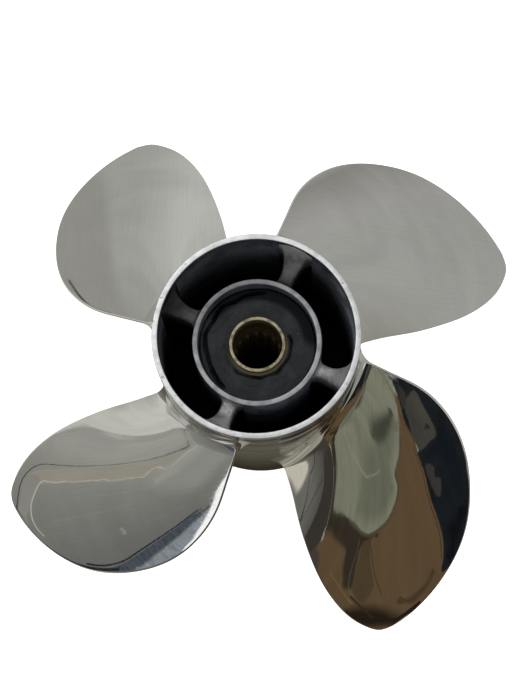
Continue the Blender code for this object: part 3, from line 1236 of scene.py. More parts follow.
@dataclass(frozen=True)
class Rib:
    """One rib between inner hub and barrel: narrow at its waist, flared and swept up to the barrel's wall.

    Each rib's painted shade is its share at the hub and at the barrel, and the power that bends the way
    between them.
    """

    index: int
    barrel: Barrel
    hub: InnerHub
    count: int = 4
    first_angle: float = math.radians(66.0)
    waist_width: float = 0.0086
    hub_width: float = 0.0100
    barrel_width: float = 0.0160
    waist_share: float = 0.35
    front_step: float = 0.0040
    rim_step: float = 0.0030
    rear_step: float = 0.0040
    rounding: float = 0.0022
    end_fillet: float = 0.0030
    front_fillet: float = 0.0024
    side_top: float = 0.9
    buried: float = 0.0005
    crown: float = 0.0004
    shade_depths: Point = (0.0040, 0.0140)
    rib_shade: tuple[Triple, ...] = ((0.96, 0.0, 1.7), (0.50, 1.0, 0.5), (0.0, 0.0, 1.0), (0.10, 0.0, 0.6))
    rows: int = 40
    side_columns: int = 8
    level_columns: int = 12

    def width(self, share: np.ndarray) -> np.ndarray:
        """Width of the rib.

        Args:
            share: shares of the way from hub to barrel.

        Returns:
            The width, narrowest at the waist.
        """
        to_hub = np.clip((self.waist_share - share) / self.waist_share, 0, 1)
        to_barrel = np.clip((share - self.waist_share) / (1 - self.waist_share), 0, 1)
        flare = (self.hub_width - self.waist_width) * to_hub**2
        return self.waist_width + flare + (self.barrel_width - self.waist_width) * to_barrel**2

    def front(self, share: np.ndarray) -> np.ndarray:
        """Height of the rib's front edge.

        Args:
            share: shares of the way from hub to barrel.

        Returns:
            The height: level near the hub, then a hollow sweep up to just behind the rim.
        """
        low = self.hub.front() - self.front_step
        high = self.barrel.length - self.rim_step
        rise = np.clip((share - self.waist_share) / (1 - self.waist_share), 0, 1)
        return low + (high - low) * rise**2

    def section(self) -> tuple[np.ndarray, np.ndarray, np.ndarray, np.ndarray]:
        """The section's outline, once round from the rear left.

        Returns:
            Sideways place from -1 to 1, height share from 0 to 1, and how many roundings a point lies in from
            the side and below the front edge.
        """
        ones, none = np.ones(self.side_columns), np.zeros(self.side_columns)
        rise = np.linspace(0, self.side_top, self.side_columns)
        bend = np.linspace(0, math.pi / 2, self.side_columns)
        level = np.linspace(-1, 1, self.level_columns + 2)[1:-1]
        flat = np.ones(self.level_columns)
        side = np.concatenate([-ones, -ones, level, ones, ones])
        up = np.concatenate([rise, ones, flat, ones, rise[::-1]])
        drop = np.concatenate([none, 1 - np.sin(bend), 0 * flat, 1 - np.sin(bend[::-1]), none])
        inward = np.concatenate([none, 1 - np.cos(bend), flat, 1 - np.cos(bend[::-1]), none])
        return side, up, inward, drop

    def points(self) -> np.ndarray:
        """The rib's points in place, as rows from hub to barrel by columns round the section."""
        side, up, inward, drop = self.section()
        inner = self.hub.radius
        outer = self.barrel.bore_radius()
        share = (1 - np.cos(np.linspace(0, math.pi, self.rows)))[:, None] / 2
        radius = inner - self.buried + (outer - inner + 2 * self.buried) * share
        off_hub = np.clip(radius - inner, 0, None)
        off_barrel = np.clip(outer - radius, 0, None)
        flare = fillet_reach(off_hub, self.end_fillet) + fillet_reach(off_barrel, self.end_fillet)
        half = self.width(share) / 2 + flare
        flat = half - self.rounding
        level = np.where(np.abs(side) < 1, side * flat, np.sign(side) * (half - self.rounding * inward))
        crown = self.crown * (1 - side**2)
        rear = self.hub.rear_recess + self.rear_step
        top = self.front(share) + fillet_reach(off_hub, self.front_fillet) + crown
        height = rear + (top - rear) * up - drop * self.rounding
        middle = self.first_angle + self.index * math.tau / self.count
        return polar(radius, middle + level / radius, height)

    def build(self, finishes: Finishes) -> None:
        """Makes the rib.

        Args:
            finishes: the propeller's finishes.
        """
        name = f"rib_{self.index + 1}_cast"
        points = self.points()
        mesh = Skin.from_grid(name, points, True, False, 0)
        Skin.coat(mesh, finishes.cast)
        # Painted shade: deeper below the rib's front edge, down in the passage, and each rib darker by its
        # own share towards hub or barrel.
        below = points[..., 2].max(axis=1, keepdims=True) - points[..., 2]
        at_hub, at_barrel, bend = self.rib_shade[self.index]
        rib_shade = at_hub + (at_barrel - at_hub) * np.linspace(0, 1, self.rows)[:, None] ** bend
        Skin.store(mesh, "painted_shade_share", rib_shade + (1 - rib_shade) * smooth_step(*self.shade_depths, below))
        fit_piece(mesh, f"rib_{self.index + 1}")


@dataclass(frozen=True)
class SplineSleeve:
    """The brass sleeve on the shaft, plain at its mouth and splined further in."""

    hub: InnerHub
    radius: float = 0.01665
    bore_radius: float = 0.0146
    front_recess: float = 0.0063
    rear_length: float = 0.0040
    chamfer: float = 0.0004
    rear_rounding: float = 0.0003
    corner_steps: int = 5
    spline_count: int = 15
    spline_depth: float = 0.0014
    spline_setback: float = 0.0320
    spline_lead: float = 0.0015
    spline_flanks: Point = (0.38, 0.62)
    columns_per_spline: int = 16

    def front(self) -> float:
        """Height of the sleeve's front face."""
        return self.hub.front() - self.front_recess

    def build(self, finishes: Finishes) -> None:
        """Makes the sleeve.

        Args:
            finishes: the propeller's finishes.
        """
        count = self.spline_count * self.columns_per_spline
        angle = math.tau * np.arange(count) / count
        phase = np.abs((angle * self.spline_count / math.tau) % 1 - 0.5) * 2
        tooth = self.spline_depth * smooth_step(*self.spline_flanks, phase)
        front = self.front()
        rear = self.hub.rear_recess - self.rear_length
        spline_front = front - self.spline_setback
        corners = rounded([
            (self.radius, rear, self.rear_rounding),
            (self.radius, front, self.chamfer),
            (self.bore_radius, front, self.chamfer),
            (self.bore_radius, spline_front, 0.0),
        ], self.corner_steps)
        rings = [polar(np.full(count, radius), angle, height) for radius, height in corners]
        for height in (spline_front - self.spline_lead, (spline_front + rear) / 2, rear):
            rings.append(polar(self.bore_radius - tooth, angle, height))
        mesh = Skin.from_grid("spline_sleeve_brass", np.array(rings), True, True)
        Skin.coat(mesh, finishes.brass)
        fit_piece(mesh, "spline_sleeve")


@dataclass(frozen=True)
class RubberBushing:
    """The dished rubber between sleeve and inner hub, with a crevice on one side and a tear at the sleeve."""

    hub: InnerHub
    sleeve: SplineSleeve
    recess: float = 0.0080
    dish: float = 0.0022
    ledge_drop: float = 0.0016
    crevice_depth: float = 0.0042
    crevice_width: float = 0.0009
    crevice: tuple[Point, ...] = (
        (78.0, 0.0322), (92.0, 0.0312), (106.0, 0.0306), (117.0, 0.0296), (132.0, 0.0312), (150.0, 0.0299),
        (167.0, 0.0314), (181.0, 0.0306), (192.0, 0.0298), (206.0, 0.0302), (218.0, 0.0308), (236.0, 0.0325),
    )
    tear: tuple[Point, ...] = (
        (-140.0, 0.0190), (-126.0, 0.0203), (-112.0, 0.0192), (-98.0, 0.0188), (-84.0, 0.0196),
        (-70.0, 0.0188), (-55.0, 0.0200), (-40.0, 0.0188), (-24.0, 0.0198), (-8.0, 0.0196), (8.0, 0.0202),
        (22.0, 0.0190),
    )
    tear_depth: float = 0.0022
    tear_width: float = 0.0006
    fade_degrees: float = 12.0
    ripple: float = 0.00012
    ripple_width: float = 0.0045
    ripple_start: float = 0.020
    unevenness: float = 0.00018
    swells: tuple[int, int] = (3, 5)
    swell_turn: float = 1.0
    swell_twist: float = 300.0
    edge_drop: float = 0.0012
    edge_width: float = 0.0016
    rings: int = 90
    segments: int = 300

    def front(self) -> float:
        """Height of the rubber's front face at the inner hub."""
        return self.hub.front() - self.recess

    def cut(self, path: tuple[Point, ...], width: float, depth: float, radius: np.ndarray,
            angle: np.ndarray) -> tuple[np.ndarray, np.ndarray]:
        """A narrow cut into the face that follows a path and fades at both ends.

        Args:
            path: angle in degrees and radius of the path's points.
            width: half the cut's width.
            depth: its depth.
            radius: radii to evaluate.
            angle: angles to evaluate, in radians.

        Returns:
            How far the face drops, and the share from 0 inside the path to 1 outside it.
        """
        knots, radii = np.array(path).T
        degrees = (np.degrees(angle) - knots[0]) % 360 + knots[0]
        at = np.interp(degrees, knots, radii)
        present = smooth_step(knots[0], knots[0] + self.fade_degrees, degrees)
        present = present * (1 - smooth_step(knots[-1] - self.fade_degrees, knots[-1], degrees))
        drop = depth * np.exp(-((radius - at) / width) ** 2) * present
        return drop, smooth_step(-width, width, radius - at) * present

    def top(self, radius: np.ndarray, angle: np.ndarray) -> np.ndarray:
        """Height of the front face.

        Args:
            radius: radii to evaluate.
            angle: angles to evaluate, in radians.

        Returns:
            The height there.
        """
        outer = self.hub.bore_radius()
        share = (outer - radius) / (outer - self.sleeve.radius)
        height = self.front() - self.dish * np.clip(share, 0, 1)
        crevice, outside = self.cut(self.crevice, self.crevice_width, self.crevice_depth, radius, angle)
        tear, _ = self.cut(self.tear, self.tear_width, self.tear_depth, radius, angle)
        moulded = self.ripple * np.sin((radius - self.ripple_start) / self.ripple_width * math.tau)
        few, more = self.swells
        swell = np.sin(few * angle + self.swell_turn) * np.sin(more * angle + radius * self.swell_twist)
        uneven = self.unevenness * swell
        edge = self.edge_drop * smooth_step(outer - self.edge_width, outer, radius)
        return height - crevice - tear - outside * self.ledge_drop + moulded + uneven - edge

    def build(self, finishes: Finishes) -> None:
        """Makes the bushing.

        Args:
            finishes: the propeller's finishes.
        """
        angle = np.linspace(0, math.tau, self.segments, endpoint=False)
        radius = np.linspace(self.sleeve.radius, self.hub.bore_radius(), self.rings)
        face = polar(radius[:, None], angle[None, :], self.top(radius[:, None], angle[None, :]))
        rear = self.hub.rear_recess + self.hub.shoulder_length
        outer = polar(np.full(self.segments, radius[-1]), angle, rear)
        inner = polar(np.full(self.segments, radius[0]), angle, rear)
        mesh = Skin.from_grid("rubber_bushing_moulded", np.concatenate([face, [outer, inner]]), True, True)
        Skin.coat(mesh, finishes.rubber)
        fit_piece(mesh, "rubber_bushing")


# The studio


def answer_to(obj: bpy.types.Object, seen: Seen) -> None:
    """Sets which rays see a piece of the studio.

    Args:
        obj: the piece.
        seen: the rays.
    """
    reflections_only = seen is Seen.BY_REFLECTIONS
    obj.visible_glossy = reflections_only
    obj.visible_camera = not reflections_only
    obj.visible_diffuse = not reflections_only
    obj.visible_shadow = not reflections_only
    obj.visible_transmission = not reflections_only


@dataclass(frozen=True)
class Card:
    """A board of the round surround that the polished metal reflects, as an outline on the wall.

    The outline's points are an angle in degrees and a height in metres. The colour is how the board looks on
    screen when the steel reflects it. Its edge fades over its soft width, and its tone wanders by its mottle,
    in streaks whose two scales are across and up.
    """

    name: str
    color: Color
    outline: tuple[Point, ...]
    soft: float = 0.0008
    mottle: float = 0.10
    streaks: tuple[float, float] = (40.0, 40.0)


@dataclass(frozen=True)
class Stripe:
    """A narrow line on the surround's wall, along a path of points as a card's."""

    name: str
    color: Color
    path: tuple[Point, ...]
    width: float = 0.0016


@dataclass
class Surround:
    """The round wall of boards close about the propeller that only reflections see.

    Its own tones stand at angles in degrees, in the colours that the steel shows of them on screen.
    """

    radius: float = 0.200
    bottom: float = -0.200
    top: float = 0.260
    steel_share: float = 0.60
    layer_step: float = 0.0002
    strip_width: float = 0.010
    wall_columns: int = 180
    wall_rows: int = 24
    wall_streak: Pattern = Pattern(1, 4, 0.6, 0.25, 0.75, 1.06, 0.93, stretch=(9, 9, 60))
    curve_steps: int = 6
    line_steps: int = 8
    line_section: tuple[Point, ...] = ((-1.0, 0.0), (-0.4, 1.0), (0.4, 1.0), (1.0, 0.0))
    first_degree: float = -50.0
    tones: tuple[tuple[float, Color], ...] = (
        (-50.0, (132, 132, 122)), (-36.0, (135, 135, 126)), (-22.0, (141, 141, 134)),
        (-6.0, (149, 149, 144)), (6.0, (151, 151, 147)), (26.0, (148, 149, 144)),
        (45.0, (149, 148, 145)), (53.0, (139, 138, 134)), (60.0, (127, 126, 121)),
        (67.0, (165, 167, 161)), (82.0, (169, 171, 165)), (96.0, (170, 172, 166)),
        (104.0, (161, 162, 157)), (113.0, (150, 151, 146)), (126.0, (147, 148, 142)),
        (134.0, (148, 148, 142)), (141.0, (166, 166, 159)), (150.0, (181, 181, 173)),
        (164.0, (180, 180, 172)), (170.0, (147, 147, 140)), (182.0, (139, 139, 132)),
        (190.0, (128, 128, 122)), (199.0, (119, 120, 114)), (214.0, (108, 109, 104)),
        (222.0, (100, 101, 97)), (231.0, (97, 98, 94)), (238.0, (102, 101, 95)),
        (243.0, (90, 89, 83)), (249.0, (74, 72, 67)), (253.0, (60, 55, 49)),
        (310.0, (60, 55, 49)),
    )
    cards: tuple[Card, ...] = ()
    stripes: tuple[Stripe, ...] = ()
    pieces: list[bpy.types.Object] = field(default_factory=list)

    def light(self, color: Color) -> Color:
        """Light that a board gives out, for steel to show it in a colour.

        Args:
            color: the colour on screen.

        Returns:
            The light's linear colour.
        """
        return tuple(c / self.steel_share for c in from_display(color))

    def degree(self) -> float:
        """Metres along the wall to a degree."""
        return self.radius * math.radians(1)

    def on_wall(self, point: Point, layer: int) -> Vector:
        """A point of the wall.

        Args:
            point: angle in degrees and height in metres.
            layer: how many layers it stands in front of the wall.

        Returns:
            The point in the frame.
        """
        angle = math.radians(point[0])
        radius = self.radius - layer * self.layer_step
        return Vector((radius * math.cos(angle), radius * math.sin(angle), point[1]))

    def build(self) -> None:
        """Makes the wall, its boards and its lines."""
        self.build_wall()
        for layer, card in enumerate(self.cards, start=1):
            self.build_card(card, layer)
        for layer, stripe in enumerate(self.stripes, start=len(self.cards) + 1):
            self.build_stripe(stripe, layer)
        log.info("surround: a wall with %d boards and lines", len(self.pieces) - 1)
        wall = self.pieces[0]
        with bpy.context.temp_override(active_object=wall, selected_editable_objects=self.pieces):
            bpy.ops.object.join()
        answer_to(wall, Seen.BY_REFLECTIONS)

    def build_wall(self) -> None:
        """Makes the plain wall, whose tone changes softly with the angle."""
        angle = np.linspace(0, math.tau, self.wall_columns, endpoint=False)
        height = np.linspace(self.bottom, self.top, self.wall_rows)
        points = polar(self.radius, angle[None, :], height[:, None])
        mesh = Skin.from_grid("surround_wall", points, True, False)
        graph = Graph.of_material("surround_tones")
        x, y, _ = graph.axes()
        turned = graph.math("ADD", graph.math("ARCTAN2", y, x), math.tau - math.radians(self.first_degree))
        share = graph.math("FRACT", graph.math("DIVIDE", turned, math.tau))
        stops = [((degrees - self.first_degree) / 360, self.light(color)) for degrees, color in self.tones]
        graph.become_light(graph.scaled(graph.ramp(share, stops), graph.marks(self.wall_streak)))
        Skin.coat(mesh, graph.owner)
        self.pieces.append(show(mesh))

    def build_card(self, card: Card, layer: int) -> None:
        """Makes one board, with an edge that fades over its soft width.

        Args:
            card: the board.
            layer: how many layers it stands in front of the wall.
        """
        loop = closed_curve([(x * self.degree(), y) for x, y in card.outline], self.curve_steps)
        inner = inset(loop, card.soft)
        count = len(loop)
        bm = bmesh.new()
        cover = bm.verts.layers.float.new("cover")
        corners = [bm.verts.new((*point, 0.0)) for point in loop + inner]
        for corner in corners[count:]:
            corner[cover] = 1.0
        for i in range(count):
            j = (i + 1) % count
            bm.faces.new((corners[i], corners[j], corners[j + count], corners[i + count]))
        for face in geometry.tessellate_polygon([[corner.co for corner in corners[count:]]]):
            bm.faces.new([corners[index + count] for index in face])
        self.bend(bm, layer)
        mesh = bpy.data.meshes.new(card.name)
        bm.to_mesh(mesh)
        bm.free()
        graph = Graph.of_material(card.name)
        across, up = card.streaks
        patch = Pattern(1, 4, 0.62, 0.25, 0.75, 1 + card.mottle, 1 - card.mottle, (across, across, up))
        self.light_up(mesh, graph, graph.scaled(self.light(card.color), graph.marks(patch)))

    def light_up(self, mesh: bpy.types.Mesh, graph: Graph, color: object) -> None:
        """Lets a board or a line give light in its colour, and fade where its mesh stores less cover.

        Args:
            mesh: the board or the line.
            graph: its material's graph.
            color: the light's colour.
        """
        graph.become_light(color, graph.span(graph.stored("cover"), 0.0, 1.0))
        Skin.coat(mesh, graph.owner)
        self.pieces.append(show(mesh))

    def bend(self, bm: bmesh.types.BMesh, layer: int) -> None:
        """Cuts a flat board into narrow strips and bends it along the wall.

        Args:
            bm: the board, flat, with its width along x and its height along y.
            layer: how many layers it stands in front of the wall.
        """
        def too_wide(edge: bmesh.types.BMEdge) -> bool:
            """Whether an edge spans more of the wall than a strip does."""
            return abs(edge.verts[0].co.x - edge.verts[1].co.x) > self.strip_width

        while wide := [edge for edge in bm.edges if too_wide(edge)]:
            bmesh.ops.subdivide_edges(bm, edges=wide, cuts=1)
            bmesh.ops.triangulate(bm, faces=bm.faces)
        for vertex in bm.verts:
            vertex.co = self.on_wall((vertex.co.x / self.degree(), vertex.co.y), layer)

    def build_stripe(self, stripe: Stripe, layer: int) -> None:
        """Makes one line.

        Args:
            stripe: the line.
            layer: how many layers it stands in front of the wall.
        """
        degree = self.degree()
        path = np.array([(x * degree, y) for x, y in stripe.path])
        last = len(path) - 1
        steps = np.linspace(0, last, last * self.line_steps + 1)
        line = np.stack([spline_through(np.arange(last + 1), places, steps) for places in path.T], -1)
        along = np.gradient(line, axis=0)
        along /= np.linalg.norm(along, axis=1, keepdims=True)
        side = np.stack([-along[:, 1], along[:, 0]], -1) * stripe.width / 2
        sides, cover = zip(*self.line_section)
        grid = [[self.on_wall((x / degree, y), layer) for x, y in line + side * step] for step in sides]
        mesh = Skin.from_grid(stripe.name, np.array(grid), False, False)
        Skin.store(mesh, "cover", np.repeat(cover, len(line)))
        self.light_up(mesh, Graph.of_material(stripe.name), self.light(stripe.color))


def closed_curve(corners: list[Point], steps: int) -> list[Point]:
    """Rounds a closed outline into a smooth curve through its corners.

    Args:
        corners: the outline's corners.
        steps: points to each stretch between corners.

    Returns:
        The curve's points.
    """
    points = np.array(corners)
    before, after, next_after = (np.roll(points, shift, axis=0) for shift in (1, -1, -2))
    curve = []
    for p0, p1, p2, p3 in zip(before, points, after, next_after):
        for t in np.arange(steps) / steps:
            bend = (2 * p0 - 5 * p1 + 4 * p2 - p3) * t**2 + (3 * (p1 - p2) + p3 - p0) * t**3
            curve.append(tuple((2 * p1 + (p2 - p0) * t + bend) / 2))
    return curve


def inset(loop: list[Point], reach: float) -> list[Point]:
    """Draws an outline inwards.

    Args:
        loop: the outline's points.
        reach: how far.

    Returns:
        As many points, inside the outline.
    """
    points = np.array(loop)
    along = np.roll(points, -1, axis=0) - np.roll(points, 1, axis=0)
    along /= np.linalg.norm(along, axis=1, keepdims=True)
    area = np.sum(points[:, 0] * np.roll(points[:, 1], -1) - points[:, 1] * np.roll(points[:, 0], -1))
    inward = np.stack([-along[:, 1], along[:, 0]], -1) * math.copysign(1.0, area)
    return [tuple(point) for point in points + inward * reach]


def upper_cards() -> tuple[Card, ...]:
    """The boards that the upper left and the lower left blade show, from the farthest to the nearest."""
    return (
        Card("board_dim", (137, 137, 131),
             ((124, .00), (140, .00), (152, .02), (156, .07), (152, .12), (138, .14), (127, .12), (122, .06)),
             soft=.02, mottle=.03),
        Card("board_grey_tongue", (140, 140, 134),
             ((164.6, .0474), (165.6, .0483), (167.2, .0506), (168.6, .0532), (169.3, .0554), (170.6, .0578),
              (174, .0625), (177, .064), (178, .056), (176, .044), (171, .0448), (167, .0464)),
             soft=.001, mottle=.04),
        Card("board_mid_soft", (129, 130, 124),
             ((190, .105), (198, .097), (206, .11), (213, .13), (213, .155), (203, .172), (190, .165)),
             soft=.026, mottle=.03),
        Card("board_mid_light", (140, 139, 132),
             ((176, .112), (186, .092), (196, .093), (202, .106), (199, .126), (190, .146), (180, .142)),
             soft=.024, mottle=.03),
        Card("board_light_foot", (177, 177, 170),
             ((160, .047), (167, .0468), (171, .0452), (176.5, .0395), (182, .031), (188, .0205), (194, .011),
              (197, .0), (190, -.02), (165, -.03)), soft=.0014, mottle=.04),
        Card("board_light_hub", (176, 176, 168),
             ((166, .0555), (171, .0583), (174, .0658), (176.7, .0742), (179.6, .0828), (183, .093),
              (187.4, .107), (190.5, .1125), (192, .125), (180, .125), (168, .08), (163, .06)),
             soft=.0012, mottle=.04),
        Card("board_brown_grey", (137, 133, 122),
             ((187, .0995), (185, .088), (184.9, .078), (187.2, .066), (190, .05), (192.2, .035),
              (194.3, .022), (198, .0135), (204.5, .0085), (208, .0095), (206, .015), (202.5, .0195),
              (198.6, .0255), (197.4, .035), (195.5, .055), (194, .07), (193.5, .085), (192.5, .0955),
              (190, .1045)), mottle=.05),
        Card("board_tip_grey", (126, 125, 119),
             ((194.8, .024), (196.2, .015), (199.6, .01), (204.5, .0078), (210, .0085), (206.6, .0156),
              (203.0, .02), (199.2, .0255), (197.4, .029)), soft=.003, mottle=.04),
        Card("board_blue_dark", (64, 71, 78),
             ((222.6, .15), (222.3, .1431), (222.2, .1335), (223.7, .1196), (224.9, .1053), (226.1, .0903),
              (227.2, .075), (227.6, .0635), (226.6, .05), (224, .038), (226.6, .044), (229.4, .0575),
              (231.4, .068), (236, .095), (235, .12), (230, .145)), mottle=.4, streaks=(60.0, 500.0)),
        Card("board_blue_pale", (118, 124, 130),
             ((224.0, .15), (224.6, .1335), (226.6, .1196), (228.0, .1053), (229.2, .0903), (230.4, .075),
              (231.4, .068), (236, .095), (236, .12), (231, .148)),
             soft=.0045, mottle=.4, streaks=(60.0, 600.0)),
        Card("board_white_edge", (238, 239, 239),
             ((206, .1605), (209.6, .1588), (211.4, .157), (212.5, .1567), (213.6, .1573), (215.0, .1573),
              (216.4, .1562), (218.2, .1542), (220.9, .1518), (224.2, .1457), (227.4, .137), (229.6, .1285),
              (231.5, .121), (233.0, .11), (236, .108), (237, .13), (230, .165), (212, .175), (203, .165)),
             soft=.001, mottle=.04),
    )


def lower_right_cards() -> tuple[Card, ...]:
    """The boards that the lower right blade shows, from the farthest to the nearest."""
    return (
        Card("board_light_low", (140, 136, 124),
             ((214, -.16), (214, -.02), (236, -.012), (246, .000), (256, .012), (264, .02), (271, .027),
              (278, .026), (284, .016), (290, .004), (297, .002), (303, .01), (307, .000), (309, -.03),
              (309, -.16)), soft=.008, mottle=.16, streaks=(6.0, 160.0)),
        Card("board_grey_low", (100, 100, 95),
             ((306, -.18), (306, -.04), (310, -.012), (316, -.008), (326, -.012), (340, -.012),
              (346, -.06), (346, -.18)), soft=.006, mottle=.2, streaks=(6.0, 160.0)),
        Card("board_light_sheet", (180, 175, 162),
             ((208, -.03), (214, .000), (221, .02), (225.6, .038), (228.4, .0475), (231.5, .048),
              (234.5, .044), (237.6, .04), (238.6, .03), (238, .015), (236, -.005), (230, -.03)),
             soft=.01, mottle=.05),
        Card("board_brown", (83, 67, 47),
             ((258, .08), (262, .076), (268, .06), (274, .045), (280, .03), (287, .012), (292, .004),
              (304, .002), (311.5, .02), (312.2, .0374), (313.6, .0525), (313.7, .0697), (313.1, .0908),
              (313.5, .1095), (313.1, .1271), (313.6, .1408), (312.9, .1536), (315, .168), (310, .18),
              (290, .165), (270, .125), (258, .094)), soft=.001, mottle=.09, streaks=(60.0, 12.0)),
        Card("board_brown_foot", (33, 26, 19),
             ((281, .031), (286, .0345), (290.5, .033), (294, .029), (297, .023), (300, .017),
              (303, .01), (304, .004), (288, .003), (282, .015)), soft=.012, mottle=.12),
        Card("board_brown_dusk", (64, 50, 36),
             ((297, .027), (301, .0275), (305, .031), (308.5, .037), (308, .028), (305, .02),
              (301, .017)), soft=.005),
        Card("board_slate_band", (49, 45, 41),
             ((250.5, .066), (253.5, .0705), (256.5, .0765), (260.2, .0885), (261.5, .092), (259.6, .095),
              (255, .0925), (250, .085), (246.5, .0818), (248, .079), (249.3, .0745)),
             soft=.0012, mottle=.12),
        Card("board_umber", (45, 39, 31),
             ((258.2, .085), (262, .085), (266, .0835), (270.5, .081), (274, .0775), (275.0, .072),
              (276.2, .064), (277.8, .056), (280.0, .0455), (283.8, .045), (284.0, .056), (282.6, .064),
              (282.2, .072), (282.2, .079), (286, .082), (289, .087), (280, .095), (270, .1),
              (257.5, .1)), soft=.0042, mottle=.12),
        Card("board_fold_light", (68, 56, 40),
             ((281.8, .083), (282.0, .072), (282.0, .06), (283.2, .045), (286, .0345), (288.2, .03),
              (290.6, .042), (289.2, .055), (287.2, .068), (285.6, .083)), soft=.0016, mottle=.08),
        Card("board_black", (22, 25, 28),
             ((310, .1725), (313.7, .1762), (316.6, .1755), (315.2, .17), (312.2, .1536), (312.9, .1408),
              (313.6, .1275), (312.5, .1255), (312.9, .1095), (312.5, .0908), (313.1, .0697), (312.9, .0525),
              (311.3, .0374), (310.5, .0328), (310.3, .027), (312.9, .0268), (315.8, .0325), (319.0, .0425),
              (322, .0525), (324.8, .063), (327, .0766), (329.4, .0904), (331, .108), (331.4, .1257),
              (330.6, .1436), (327.6, .1609), (323, .177), (316, .192), (304, .192), (303, .178)),
             soft=.0007, mottle=.22),
        Card("board_blue_black", (16, 22, 27),
             ((315, .118), (319, .112), (321.5, .098), (321, .08), (320.5, .065), (324, .07), (327, .09),
              (328.6, .112), (327, .128), (322, .123)), soft=.004, mottle=.15),
        Card("board_black_low", (13, 15, 19),
             ((312.4, .044), (313.4, .054), (314.6, .062), (318.5, .065), (323, .064), (322, .053),
              (319.0, .0425), (315.8, .033), (312.8, .0275), (311.4, .033)), soft=.011, mottle=.12),
        Card("board_slate_wide", (60, 58, 52),
             ((314.2, .15), (314.8, .1575), (316.8, .1625), (320.5, .1638), (324.2, .1608), (324.5, .1458),
              (324.2, .124), (319.8, .1238), (316.2, .124), (313.8, .1265), (313.2, .14)),
             soft=.001, mottle=.2),
        Card("board_slate_corner", (48, 47, 44),
             ((316.9, .17), (318.3, .1722), (319.4, .166), (317.0, .16), (314.4, .159), (315.0, .165)),
             soft=.001, mottle=.2),
        Card("board_slate_spot", (36, 35, 31),
             ((319.3, .135), (320.6, .1362), (322.0, .1372), (322.9, .133), (322.2, .1305), (320.8, .1335))),
        Card("board_slate_small", (50, 49, 45),
             ((314.0, .11), (315.6, .1125), (317.8, .106), (316.8, .099), (318.6, .094), (316.8, .083),
              (315.2, .084), (314.2, .096)), mottle=.12),
        Card("board_green_shade", (66, 62, 50),
             ((262, .0925), (268, .095), (276, .0905), (284.8, .0835), (291, .0868), (294.2, .091),
              (298.3, .103), (300.0, .113), (299.6, .1225), (304.4, .1325), (307.6, .144), (300, .15),
              (280, .13), (262, .105)), soft=.0016),
        Card("board_green", (112, 113, 97),
             ((257.6, .0915), (259.5, .0904), (262.5, .0918), (266, .0942), (271, .095), (276, .0936),
              (280.5, .0892), (284.8, .0868), (290.9, .0905), (293.5, .094), (297.3, .1035), (299.0, .113),
              (298.6, .1221), (303.4, .1332), (306.7, .144), (309.5, .1534), (312.6, .164), (315.1, .1704),
              (316.3, .1742), (313.7, .1752), (311.4, .1738), (308.6, .1746), (304, .1708), (296.8, .1636),
              (288, .1484), (280.5, .1345), (275.5, .1255), (271, .1165), (267, .11), (263.5, .105),
              (260.2, .0998), (257.8, .0958)), soft=.0006, streaks=(80.0, 20.0)),
        Card("board_green_deep", (92, 94, 80),
             ((274, .093), (284, .088), (291.5, .0905), (297.4, .104), (299.0, .113), (298.6, .123),
              (303, .134), (306.5, .144), (309.5, .155), (303, .164), (294, .154), (286, .142),
              (279, .13), (274, .112)), soft=.014, streaks=(80.0, 20.0)),
        Card("board_green_smudge", (60, 62, 51),
             ((289.5, .142), (293, .152), (298, .1575), (303, .1615), (308.5, .1635), (308.0, .157),
              (303.5, .148), (297.5, .14), (292.5, .137)), soft=.006, mottle=.12),
        Card("board_white_rim", (206, 208, 202),
             ((331.2, .085), (331.9, .108), (332.3, .126), (331.5, .1436), (328.6, .1609), (325, .172),
              (328, .176), (332, .16), (334, .14), (334.4, .12), (333.4, .085)), mottle=.03),
        Card("board_glint", (250, 250, 245),
             ((316.9, .1745), (318.4, .1749), (320.2, .1738), (318.4, .1736)), soft=.0003, mottle=.0),
    )


